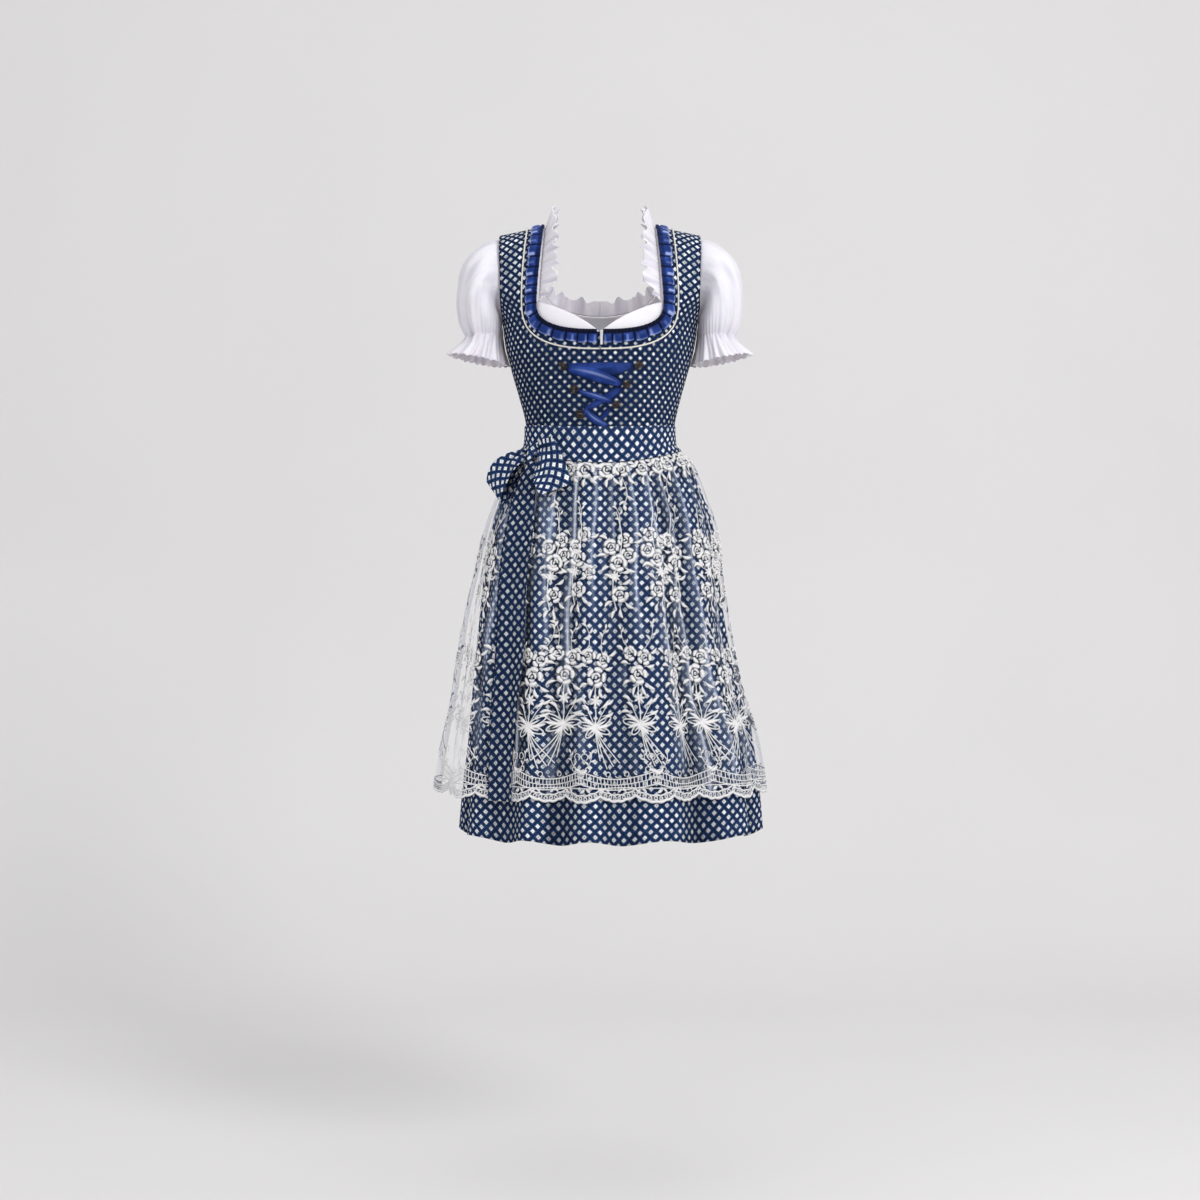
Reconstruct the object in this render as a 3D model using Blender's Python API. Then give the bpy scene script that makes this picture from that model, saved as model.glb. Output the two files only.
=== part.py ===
"""Dirndl outfit as worn: laced bodice with straps, gathered skirt, lace apron with its bow, cropped blouse.

Metres, +Z up. The front faces -Y and +X is the viewer's right. The origin lies midway between the tops
of the two straps, on the wearer's shoulders.
"""

import math

import bmesh
import bpy
from mathutils import Vector

# Sizes of the cloth

CLOTH = 0.0012
THIN_CLOTH = 0.0010
SEAM = 0.00015  # half of the gap between two pieces at a seam

BLOUSE_OUT = 0.0
BODICE_OUT = 0.0026
TRIM_OUT = 0.0045

# The general figure that the garment was cut for. The level runs up the body and over the shoulder.

TORSO = (
    # level, height, half_width, front, back, drop
    (-0.360, -0.360, 0.1210, 0.1000, 0.0980, 0.00),
    (-0.335, -0.335, 0.1150, 0.0975, 0.0920, 0.00),
    (-0.313, -0.313, 0.1125, 0.0965, 0.0890, 0.00),
    (-0.294, -0.294, 0.1145, 0.0980, 0.0900, 0.00),
    (-0.256, -0.256, 0.1245, 0.1050, 0.0980, 0.00),
    (-0.218, -0.218, 0.1350, 0.1150, 0.1070, 0.00),
    (-0.180, -0.180, 0.1450, 0.1240, 0.1140, 0.00),
    (-0.142, -0.142, 0.1500, 0.1230, 0.1180, 0.00),
    (-0.110, -0.110, 0.1580, 0.1120, 0.1170, 0.00),
    (-0.080, -0.080, 0.1660, 0.0970, 0.1100, 0.05),
    (-0.050, -0.050, 0.1720, 0.0790, 0.0960, 0.10),
    (-0.020, -0.025, 0.1760, 0.0590, 0.0720, 0.16),
    (0.005, -0.008, 0.1780, 0.0320, 0.0380, 0.20),
    (0.030, 0.000, 0.1790, 0.0000, 0.0000, 0.20),
    (0.055, -0.008, 0.1780, -0.0320, -0.0380, 0.20),
)
DROP_FROM = 0.124

SHOULDER_LEVEL = 0.030
WAIST_LEVEL = -0.335
BLOUSE_LOW_LEVEL = -0.236
YOKE_LEVEL = -0.120  # where the armhole and the straight part of the neckline begin

# Necklines: half the width where they run straight, lowest level, level where the curve begins, roundness
NECKS = {
    # piece: (half_width, half_width_at_shoulder, low, curve_top, power)
    "bodice_front": (0.0980, 0.0900, -0.169, -0.120, 2.6),
    "bodice_back": (0.0980, 0.0900, -0.125, -0.075, 2.2),
    "blouse_front": (0.0945, 0.0865, -0.171, -0.120, 1.1),
    "blouse_back": (0.0945, 0.0865, -0.117, -0.070, 2.2),
}
# Armholes: half the width at the yoke, at the shoulder, and the level of the underarm
ARMS = {
    # piece: (half_width, half_width_at_shoulder, underarm)
    "bodice": (0.1530, 0.1575, -0.142),
    "blouse": (0.1545, 0.1590, -0.134),
}
NECK_COLUMNS = 6
STRAP_COLUMNS = 3
ARM_COLUMNS = 2
HALF_COLUMNS = NECK_COLUMNS + STRAP_COLUMNS + ARM_COLUMNS
STRAP_ROWS = 5
BODICE_SHARES = (0.0, 0.12, 0.25, 0.39, 0.54, 0.69, 0.84, 1.0)
BLOUSE_SHARES = (0.0, 0.33, 0.67, 1.0)

# Skirt: half-widths on both sides, depths, and how deep its waist gathers and its hanging folds are

SKIRT = (
    # height, right, left, front, back, gather, fold
    (-0.3353, 0.1150, 0.1150, 0.0975, 0.0920, 0.0003, 0.0000),
    (-0.3460, 0.1260, 0.1240, 0.1000, 0.0990, 0.0012, 0.0000),
    (-0.3620, 0.1380, 0.1340, 0.1060, 0.1100, 0.0015, 0.0008),
    (-0.3850, 0.1475, 0.1440, 0.1150, 0.1250, 0.0015, 0.0020),
    (-0.4200, 0.1590, 0.1550, 0.1260, 0.1420, 0.0012, 0.0035),
    (-0.4700, 0.1740, 0.1680, 0.1410, 0.1590, 0.0006, 0.0050),
    (-0.5400, 0.1800, 0.1780, 0.1550, 0.1720, 0.0000, 0.0062),
    (-0.6200, 0.1900, 0.1860, 0.1690, 0.1830, 0.0000, 0.0075),
    (-0.7100, 0.2060, 0.1940, 0.1820, 0.1940, 0.0000, 0.0090),
    (-0.7950, 0.2290, 0.2000, 0.1930, 0.2040, 0.0000, 0.0105),
    (-0.8800, 0.2400, 0.2090, 0.2020, 0.2130, 0.0000, 0.0115),
    (-0.9420, 0.2450, 0.2140, 0.2070, 0.2190, 0.0000, 0.0120),
)
SKIRT_COLUMNS = 40  # in each half
GATHERS = 40  # round the whole waist
FOLDS = 12  # round the whole hem
FOLD_DRIFT = 0.9
HEM_DIP = 0.004

# Apron: how far it stands off the skirt, more on the side where it swings out past the skirt
APRON_OUT = (
    # height, front, left_side, right_side
    (-0.3400, 0.0042, 0.0042, 0.0042),
    (-0.3850, 0.0044, 0.0050, 0.0044),
    (-0.4200, 0.0046, 0.0080, 0.0046),
    (-0.5200, 0.0050, 0.0150, 0.0050),
    (-0.6100, 0.0054, 0.0250, 0.0056),
    (-0.7200, 0.0058, 0.0310, 0.0066),
    (-0.8000, 0.0062, 0.0400, 0.0080),
    (-0.8800, 0.0066, 0.0430, 0.0110),
)
APRON_REACH = 101.25  # degrees to each side of the front
SCALLOP_DEPTH = 0.008
APRON_HEM = -0.8800

# Apron band, as heights at the front, the sides and the back
BAND = (
    # share, front, side, back, out
    (0.00, -0.3670, -0.3430, -0.3480, 0.0042),
    (0.35, -0.3470, -0.3290, -0.3330, 0.0052),
    (0.70, -0.3280, -0.3150, -0.3180, 0.0055),
    (1.00, -0.3120, -0.3040, -0.3060, 0.0050),
)
BAND_FRONT_REACH = 108.0

# Sleeve, for the side towards +X; the other one is its mirror image
SLEEVE_STEPS = (0.0, 0.10, 0.26, 0.46, 0.66, 0.84, 1.0)
ARMHOLE_INSET = 0.0028
CUFF_CENTRE = Vector((0.1818, 0.0030, -0.1620))
CUFF_RADII = (0.0278, 0.0430)
FRILL_RINGS = (
    # centre_x, centre_y, height, tilt, radius_x, radius_y, wave
    (0.1850, 0.0020, -0.1790, 0.0050, 0.0330, 0.0480, 0.0016),
    (0.1925, 0.0000, -0.2000, 0.0090, 0.0452, 0.0590, 0.0030),
)

# Trims round the bodice neckline
PIPING_FROM_EDGE = 0.0245
PIPING_RADIUS = 0.0012
RUFFLE_IN = -0.0035
RUFFLE_OUT = 0.0145
RUFFLE_LIFT = 0.0022
PLEAT_FRONT = 12
PLEAT_BACK = 9  # in each half

# Blouse neck frill
FRILL_WIDTH = 0.0350
FRILL_WAVE = 0.0030
FRILL_TILT_LOW = 12.0
FRILL_TILT_TOP = 48.0
FRILL_TILT_BACK = 38.0

# Lacing hooks, as places on the front of the bodice
HOOKS = (
    # name, across, height
    ("hook_left_top", -0.0550, -0.2185),
    ("hook_left_middle", -0.0390, -0.2536),
    ("hook_left_bottom", -0.0300, -0.2926),
    ("hook_right_top", 0.0575, -0.2175),
    ("hook_right_middle", 0.0400, -0.2460),
    ("hook_right_bottom", 0.0250, -0.2775),
)
HOOK_PETALS = 6
HOOK_RADIUS = 0.0060
HOOK_WAIST = 0.0042
HOOK_BASE = 0.0013
HOOK_DOME = 0.0032

# Strands of the lacing ribbon, each from one place to another
LACING = (
    # name, from_across, from_height, to_across, to_height, width_from, width_middle, width_to, out, sag
    ("lace_bar", -0.0475, -0.2190, 0.0500, -0.2180, 0.009, 0.021, 0.009, 0.0043, -0.0060),
    ("lace_over_top", -0.0480, -0.2230, 0.0325, -0.2470, 0.008, 0.019, 0.007, 0.0063, 0.0020),
    ("lace_under_middle", 0.0325, -0.2520, -0.0225, -0.2860, 0.007, 0.012, 0.007, 0.0053, 0.0000),
    ("lace_over_middle", -0.0320, -0.2570, 0.0180, -0.2740, 0.006, 0.010, 0.006, 0.0063, 0.0010),
    ("lace_under_end", 0.0140, -0.2840, 0.0000, -0.3000, 0.006, 0.009, 0.006, 0.0055, 0.0000),
    ("lace_loop", -0.0235, -0.2840, 0.0110, -0.3110, 0.006, 0.013, 0.005, 0.0062, -0.0040),
)

# Bow at the side: knot, loops and tails
KNOT_ANGLE = -47.5
KNOT_HEIGHT = -0.3500
KNOT_RADII = (0.0088, 0.0080, 0.0165)
KNOT_LEAN = 0.0070
KNOT_GAP = 0.0005
LOOPS = {
    # rows of: share_of_length, high_across, high_forward, high_height,
    #          low_across, low_forward, low_height, lift
    "bow_loop_right": (
        (0.00, -0.0983, 0.0834, -0.3400, -0.0983, 0.0884, -0.3640, 0.0022),
        (0.35, -0.0746, 0.0970, -0.3313, -0.0990, 0.1090, -0.3891, 0.0070),
        (0.65, -0.0548, 0.1190, -0.3617, -0.0978, 0.1200, -0.4044, 0.0080),
        (1.00, -0.0426, 0.1330, -0.4013, -0.0921, 0.1290, -0.4188, 0.0055),
    ),
    "bow_loop_left": (
        (0.00, -0.1119, 0.0694, -0.3440, -0.1125, 0.0759, -0.3640, 0.0022),
        (0.35, -0.1395, 0.0640, -0.3533, -0.1280, 0.0870, -0.3800, 0.0060),
        (0.65, -0.1607, 0.0560, -0.3690, -0.1400, 0.0880, -0.4030, 0.0085),
        (1.00, -0.1763, 0.0520, -0.3948, -0.1530, 0.0850, -0.4280, 0.0070),
    ),
}
TAIL = (
    # height, centre_across, half_width, lift
    (-0.3659, -0.1053, 0.0060, 0.0060),
    (-0.3955, -0.1130, 0.0118, 0.0020),
    (-0.4244, -0.1165, 0.0170, 0.0005),
    (-0.4518, -0.1195, 0.0190, 0.0000),
    (-0.4943, -0.1254, 0.0215, 0.0000),
    (-0.5628, -0.1325, 0.0208, 0.0000),
    (-0.6535, -0.1360, 0.0208, 0.0000),
    (-0.7530, -0.1457, 0.0189, 0.0000),
    (-0.8287, -0.1510, 0.0177, 0.0000),
    (-0.8820, -0.1512, 0.0177, 0.0000),
)
TAIL_LAYERS = (
    # name, out_from_apron, shift_across, lower_end
    ("tie_tail_under", 0.0022, -0.0030, -0.8450),
    ("tie_tail", 0.0044, 0.0000, -0.8820),
)

# Zip pull at the top of the centre front
ZIP_ACROSS = 0.0022
ZIP_TOP = -0.1665
SLIDER_SIZE = (0.0044, 0.0022, 0.0080)
BRIDGE_WIDTH = 0.0014
BRIDGE_REACH = 0.0034
TAB_SIZE = (0.0036, 0.0010, 0.0190)
EYE_BAR = 0.0010
EYE_SIDE = 0.0009
EYE_REACH = 0.0032
PIVOT_OUT = 0.0014  # from the slider's plate

MATERIALS = {
    # name: (colour, roughness, metallic)
    "printed_cotton": ((0.060, 0.110, 0.260, 1.0), 0.85, 0.0),
    "blue_satin": ((0.030, 0.080, 0.420, 1.0), 0.35, 0.0),
    "lace_tulle": ((0.780, 0.790, 0.830, 1.0), 0.80, 0.0),
    "white_cotton": ((0.800, 0.790, 0.820, 1.0), 0.85, 0.0),
    "cream_piping": ((0.760, 0.720, 0.640, 1.0), 0.70, 0.0),
    "antique_metal": ((0.060, 0.055, 0.060, 1.0), 0.45, 0.9),
    "zip_metal": ((0.750, 0.740, 0.720, 1.0), 0.30, 0.9),
}


# General helpers

def clear_scene():
    for item in list(bpy.data.objects):
        bpy.data.objects.remove(item, do_unlink=True)


def mix(a, b, share):
    return a + (b - a) * share


def ease(share):
    share = min(1.0, max(0.0, share))
    return share * share * (3.0 - 2.0 * share)


def read_table(table, column, key):
    """A smooth curve through one column of a table whose first column rises or falls steadily."""
    rows = table if table[0][0] < table[-1][0] else tuple(reversed(table))
    last = len(rows) - 1
    key = min(rows[last][0], max(rows[0][0], key))
    i = 0
    while i < last - 1 and key > rows[i + 1][0]:
        i += 1

    def slope(n):
        low, high = max(0, n - 1), min(last, n + 1)
        return (rows[high][column] - rows[low][column]) / (rows[high][0] - rows[low][0])

    step = rows[i + 1][0] - rows[i][0]
    t = (key - rows[i][0]) / step
    start, end = rows[i][column], rows[i + 1][column]
    return (
        start * (1 + 2 * t) * (1 - t) ** 2
        + end * t * t * (3 - 2 * t)
        + slope(i) * step * t * (1 - t) ** 2
        - slope(i + 1) * step * t * t * (1 - t)
    )


def make_material(name):
    colour, roughness, metallic = MATERIALS[name]
    material = bpy.data.materials.new(name)
    material.use_nodes = True
    shader = material.node_tree.nodes["Principled BSDF"]
    shader.inputs["Base Color"].default_value = colour
    shader.inputs["Roughness"].default_value = roughness
    shader.inputs["Metallic"].default_value = metallic
    material.diffuse_color = colour
    return material


def add_body(name, points, faces, material, smooth=True):
    mesh = bpy.data.meshes.new(name)
    mesh.from_pydata([tuple(p) for p in points], [], faces)
    mesh.materials.append(bpy.data.materials[material])
    mesh.validate()
    mesh.update()
    for polygon in mesh.polygons:
        polygon.use_smooth = smooth
    body = bpy.data.objects.new(name, mesh)
    bpy.data.collections["dirndl"].objects.link(body)
    return body


def grid_faces(rows, columns, closed=False):
    """Quads of a grid whose columns run round to the viewer's right and whose rows run up."""
    quads = []
    for i in range(rows - 1):
        for j in range(columns if closed else columns - 1):
            k = (j + 1) % columns
            quads.append((i * columns + j, i * columns + k, (i + 1) * columns + k, (i + 1) * columns + j))
    return quads


def add_wall(name, points, quads, thickness, material):
    """A closed wall: the given points, the same points moved out along their normals, and the rims."""
    normals = [Vector((0, 0, 0)) for _ in points]
    edges = {}
    for quad in quads:
        across = points[quad[2]] - points[quad[0]]
        up = points[quad[3]] - points[quad[1]]
        facing = across.cross(up)
        for n, corner in enumerate(quad):
            normals[corner] += facing
            edges[(corner, quad[(n + 1) % 4])] = True
    outer = [p + n.normalized() * thickness for p, n in zip(points, normals)]
    count = len(points)
    faces = []
    for a, b, c, d in quads:
        faces.append((a + count, b + count, c + count))
        faces.append((a + count, c + count, d + count))
        faces.append((a, c, b))
        faces.append((a, d, c))
    for a, b in edges:
        if (b, a) not in edges:
            faces.append((a, b, b + count))
            faces.append((a, b + count, a + count))
    return add_body(name, list(points) + outer, faces, material)


def add_sheet(name, rows, thickness, material, closed=False):
    points = [p for row in rows for p in row]
    return add_wall(name, points, grid_faces(len(rows), len(rows[0]), closed), thickness, material)


def add_cord(name, path, ups, radius, sides, material):
    """A closed cord along a path, with the direction away from the cloth at each point."""
    points = []
    for n, place in enumerate(path):
        ahead = (path[min(n + 1, len(path) - 1)] - path[max(n - 1, 0)]).normalized()
        up = ups[n]
        across = ahead.cross(up).normalized()
        for k in range(sides):
            turn = 2 * math.pi * k / sides
            points.append(place + up * (math.cos(turn) * radius) + across * (math.sin(turn) * radius))
    faces = []
    for n in range(len(path) - 1):
        for k in range(sides):
            m = (k + 1) % sides
            a, b = n * sides + k, n * sides + m
            faces.append((a, a + sides, b + sides))
            faces.append((a, b + sides, b))
    last = (len(path) - 1) * sides
    for k in range(1, sides - 1):
        faces.append((0, k, k + 1))
        faces.append((last, last + k + 1, last + k))
    square_up(add_body(name, points, faces, material))


# The figure's surface

def torso_place(theta, level):
    half = read_table(TORSO, 2, level)
    deep = read_table(TORSO, 3 if math.cos(theta) >= 0 else 4, level)
    x = half * math.sin(theta)
    y = -deep * math.cos(theta)
    z = read_table(TORSO, 1, level) - read_table(TORSO, 5, level) * (abs(x) - DROP_FROM)
    return Vector((x, y, z))


def torso_frame(theta, level):
    """Place, direction round the body, direction up the body and outward normal."""
    step = 0.002
    high = min(level + step, SHOULDER_LEVEL)
    low = high - 2 * step
    place = torso_place(theta, level)
    round_body = (torso_place(theta + step, level) - torso_place(theta - step, level)) / (2 * step)
    up_body = (torso_place(theta, high) - torso_place(theta, low)) / (high - low)
    return place, round_body, up_body, round_body.cross(up_body).normalized()


def torso_point(theta, level, out):
    place, _, _, normal = torso_frame(theta, level)
    return place + normal * out


def theta_of(x, level, face):
    """The angle round the body of a place this far across, on the front (1) or the back (-1)."""
    half = read_table(TORSO, 2, level)
    turn = math.asin(max(-1.0, min(1.0, x / half)))
    return turn if face > 0 else math.pi - turn


def slid(theta, level, direction, distance):
    """Moves a place over the surface by a distance in a direction."""
    _, round_body, up_body, _ = torso_frame(theta, level)
    move = direction * distance
    rr, ru, uu = round_body.dot(round_body), round_body.dot(up_body), up_body.dot(up_body)
    mr, mu = move.dot(round_body), move.dot(up_body)
    scale = rr * uu - ru * ru
    return theta + (mr * uu - mu * ru) / scale, level + (mu * rr - mr * ru) / scale


# Necklines and armholes

def neck_across(piece, level):
    half, half_top, _, curve_top, _ = NECKS[piece]
    return mix(half, half_top, ease((level - curve_top) / (SHOULDER_LEVEL - curve_top)))


def neck_curve(piece, share):
    """Across and level on the curved part of a neckline, from the centre (0) to its straight part (1)."""
    half, _, low, curve_top, power = NECKS[piece]
    turn = share * math.pi / 2
    across = half * math.sin(turn) ** (2 / power)
    return across, curve_top - (curve_top - low) * math.cos(turn) ** (2 / power)


def arm_across(piece, level):
    half, half_top, _ = ARMS[piece]
    return mix(half, half_top, ease((level - YOKE_LEVEL) / (SHOULDER_LEVEL - YOKE_LEVEL)))


def strap_levels(start):
    return [mix(start, SHOULDER_LEVEL, (n + 1) / STRAP_ROWS) for n in range(STRAP_ROWS)]


def panel_point(theta, level, out, face):
    place = torso_point(theta, level, out)
    if level > SHOULDER_LEVEL - 0.001:
        place.y = -face * SEAM
    return place


def add_panel(name, neck, arm, face, sides, low_level, shares, out, thickness, material):
    """A bodice or blouse panel: columns from the centre to the side, with a strap over the shoulder."""
    underarm = ARMS[arm][2]
    lower_rows = len(shares) - 1
    side_turn = math.pi / 2 - SEAM / 0.11
    tops = []
    for j in range(NECK_COLUMNS + 1):
        across, level = neck_curve(neck, j / NECK_COLUMNS)
        tops.append((theta_of(across, level, 1), level))
    neck_level = tops[-1][1]
    strap_low = min(neck_level, YOKE_LEVEL + 0.010)
    for j in range(1, STRAP_COLUMNS + 1):
        share = j / STRAP_COLUMNS
        level = mix(neck_level, strap_low, share)
        across = mix(neck_across(neck, neck_level), arm_across(arm, strap_low), share)
        tops.append((theta_of(across, level, 1), level))
    edge_turn = tops[-1][0]
    for j in range(1, ARM_COLUMNS + 1):
        share = j / ARM_COLUMNS
        level = strap_low - (strap_low - underarm) * math.sin(share * math.pi / 2)
        tops.append((mix(edge_turn, side_turn, 1 - math.cos(share * math.pi / 2)), level))
    centre = SEAM / 0.12 if len(sides) == 1 else 0.0

    columns = range(HALF_COLUMNS + 1)
    ordered = [-j for j in reversed(columns)] if -1 in sides else []
    if 1 in sides:
        ordered += [j for j in columns if j > 0 or not ordered]
    if face < 0:
        ordered.reverse()

    places = {}
    for j in ordered:
        number = abs(j)
        side = -1 if j < 0 or sides == (-1,) else 1
        top_turn, top_level = tops[number]
        low_turn = side_turn * number / HALF_COLUMNS
        if number == 0:
            top_turn = low_turn = centre
        for i, share in enumerate(shares):
            turn = side * mix(low_turn, top_turn, share)
            theta = turn if face > 0 else math.pi - turn
            places[(i, j)] = panel_point(theta, mix(low_level, top_level, share), out, face)
        if NECK_COLUMNS <= number <= NECK_COLUMNS + STRAP_COLUMNS:
            share = (number - NECK_COLUMNS) / STRAP_COLUMNS
            for n, level in enumerate(strap_levels(top_level)):
                across = mix(neck_across(neck, level), arm_across(arm, level), share)
                turn = side * theta_of(across, level, 1)
                theta = turn if face > 0 else math.pi - turn
                places[(lower_rows + 1 + n, j)] = panel_point(theta, level, out, face)

    index = {key: n for n, key in enumerate(places)}
    quads = []
    for a, b in zip(ordered, ordered[1:]):
        for i in range(lower_rows + STRAP_ROWS):
            corners = ((i, a), (i, b), (i + 1, b), (i + 1, a))
            if all(corner in index for corner in corners):
                quads.append(tuple(index[corner] for corner in corners))
    add_wall(name, list(places.values()), quads, thickness, material)
    side = NECK_COLUMNS + STRAP_COLUMNS
    rim = [places[(lower_rows, j)] for j in range(HALF_COLUMNS, side, -1) if (lower_rows, j) in places]
    rim += [places[(i, side)] for i in range(lower_rows, lower_rows + STRAP_ROWS + 1) if (i, side) in places]
    return rim


def neck_path(piece, face, straight_only=False, corners=40):
    """Steps along half of a neckline, from its centre up to the shoulder, as angle and level."""
    _, _, _, curve_top, _ = NECKS[piece]
    steps = []
    if not straight_only:
        for n in range(corners + 1):
            across, level = neck_curve(piece, n / corners)
            steps.append((theta_of(across, level, face), level))
    first = 0 if straight_only else 1
    for n in range(first, 41):
        level = mix(curve_top, SHOULDER_LEVEL, n / 40)
        steps.append((theta_of(neck_across(piece, level), level, face), level))
    return steps


def spaced(steps, count, start_gap, end_gap):
    """Evenly spaced places along a path over the body, with gaps at its ends in metres."""
    places = [torso_place(*step) for step in steps]
    lengths = [0.0]
    for a, b in zip(places, places[1:]):
        lengths.append(lengths[-1] + (b - a).length)
    found = []
    n = 0
    for k in range(count + 1):
        want = mix(start_gap, lengths[-1] - end_gap, k / count)
        while n < len(lengths) - 2 and lengths[n + 1] < want:
            n += 1
        share = (want - lengths[n]) / (lengths[n + 1] - lengths[n])
        theta = mix(steps[n][0], steps[n + 1][0], share)
        found.append((theta, mix(steps[n][1], steps[n + 1][1], share)))
    return found


def edge_frames(places):
    """For each place: its surface normal and the direction over the cloth away from the neck opening."""
    frames = []
    for n, (theta, level) in enumerate(places):
        before = torso_place(*places[max(0, n - 1)])
        after = torso_place(*places[min(len(places) - 1, n + 1)])
        normal = torso_frame(theta, level)[3]
        away = (after - before).cross(normal).normalized()
        frames.append((theta, level, normal, away))
    return frames


def beside(theta, level, away, distance, out):
    theta, level = slid(theta, level, away, distance)
    return torso_point(theta, min(level, SHOULDER_LEVEL), out)


def mirrored(points):
    return [Vector((-p.x, p.y, p.z)) for p in points]


def wing(piece, face, count, start_gap, straight_only=False, corners=40):
    """Frames along the half of a neckline on the +X side, with the away direction pointing outwards."""
    frames = edge_frames(spaced(neck_path(piece, face, straight_only, corners), count, start_gap, SEAM))
    turned = []
    for theta, level, normal, away in frames:
        outwards = away.x if level > YOKE_LEVEL else -away.z
        turned.append((theta, level, normal, away if outwards > 0 else -away))
    return turned


# Trims of the bodice

def pleat_height(n):
    return RUFFLE_LIFT if n % 4 in (2, 3) else 0.0


def ruffle_rows(face, pleats, start_gap):
    frames = wing("bodice_front" if face > 0 else "bodice_back", face, pleats * 4 - 1, start_gap)
    inner = []
    outer = []
    for n, (theta, level, _, away) in enumerate(frames):
        lift = pleat_height(n)
        inner.append(beside(theta, level, away, RUFFLE_IN, TRIM_OUT + lift))
        outer.append(beside(theta, level, away, RUFFLE_OUT, TRIM_OUT + lift))
    return inner, outer


def add_ruffles():
    inner, outer = ruffle_rows(1, PLEAT_FRONT, 0.0050)
    add_sheet("neck_ruffle_right", [outer, inner], THIN_CLOTH, "blue_satin")
    rows = [list(reversed(mirrored(outer))), list(reversed(mirrored(inner)))]
    add_sheet("neck_ruffle_left", rows, THIN_CLOTH, "blue_satin")
    inner, outer = ruffle_rows(-1, PLEAT_BACK, 0.0)
    rows = []
    for line in (outer, inner):
        rows.append(list(reversed(line)) + mirrored(line)[1:])
    add_sheet("neck_ruffle_back", rows, THIN_CLOTH, "blue_satin")


def piping_half(face, count, start_gap):
    path = []
    ups = []
    piece = "bodice_front" if face > 0 else "bodice_back"
    for theta, level, _, away in wing(piece, face, count, start_gap):
        theta, level = slid(theta, level, away, PIPING_FROM_EDGE)
        level = min(level, SHOULDER_LEVEL)
        place, _, _, normal = torso_frame(theta, level)
        path.append(place + normal * (TRIM_OUT + PIPING_RADIUS))
        ups.append(normal)
    return path, ups


def add_pipings():
    path, ups = piping_half(1, 18, 0.0004)
    add_cord("neck_piping_right", path, ups, PIPING_RADIUS, 5, "cream_piping")
    add_cord("neck_piping_left", mirrored(path), mirrored(ups), PIPING_RADIUS, 5, "cream_piping")
    path, ups = piping_half(-1, 13, 0.0)
    whole = list(reversed(path)) + mirrored(path)[1:]
    add_cord("neck_piping_back", whole, list(reversed(ups)) + mirrored(ups)[1:], PIPING_RADIUS, 5,
             "cream_piping")


def front_frame(across, height, out):
    """Place on the front of the bodice with its directions across, up and out."""
    theta = theta_of(across, height, 1)
    _, round_body, up_body, normal = torso_frame(theta, height)
    return torso_point(theta, height, out), round_body.normalized(), up_body.normalized(), normal


def add_hooks():
    for name, across, height in HOOKS:
        place, right, up, normal = front_frame(across, height, BODICE_OUT + CLOTH + 0.0004)
        sides = HOOK_PETALS * 2
        points = []
        for lift in (0.0, HOOK_BASE):
            for k in range(sides):
                turn = 2 * math.pi * k / sides
                radius = HOOK_RADIUS if k % 2 == 0 else HOOK_WAIST
                spot = right * (radius * math.cos(turn)) + up * (radius * math.sin(turn))
                points.append(place + spot + normal * lift)
        for k in range(sides):
            turn = 2 * math.pi * k / sides
            spot = right * (0.0020 * math.cos(turn)) + up * (0.0020 * math.sin(turn))
            points.append(place + spot + normal * (HOOK_DOME * 0.8))
        base, dome = len(points), len(points) + 1
        points.append(place)
        points.append(place + normal * HOOK_DOME)
        faces = []
        for k in range(sides):
            m = (k + 1) % sides
            faces.append((base, m, k))
            for ring in (0, sides):
                faces.append((ring + k, ring + m, ring + sides + m))
                faces.append((ring + k, ring + sides + m, ring + sides + k))
            faces.append((2 * sides + k, 2 * sides + m, dome))
        add_body(name, points, faces, "antique_metal", smooth=False)


def add_lacing():
    steps = 8
    for name, x0, z0, x1, z1, w0, w1, w2, out, sag in LACING:
        along = Vector((x1 - x0, 0, z1 - z0)).normalized()
        side = Vector((-along.z, 0, along.x))
        rows = [[], [], []]
        for n in range(steps + 1):
            share = n / steps
            bow = math.sin(math.pi * share)
            width = mix(w0, w2, share) + (w1 - (w0 + w2) / 2) * bow
            middle = Vector((mix(x0, x1, share), 0, mix(z0, z1, share))) + side * (sag * bow)
            for row, where in enumerate((-0.5, 0.0, 0.5)):
                spot = middle + side * (width * where)
                lift = 0.0005 * bow if where == 0.0 else 0.0
                rows[row].append(torso_point(theta_of(spot.x, spot.z, 1), spot.z, out + lift))
        if x1 < x0:
            rows = [list(reversed(row)) for row in rows]
        add_sheet(name, rows, THIN_CLOTH, "blue_satin")


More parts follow.
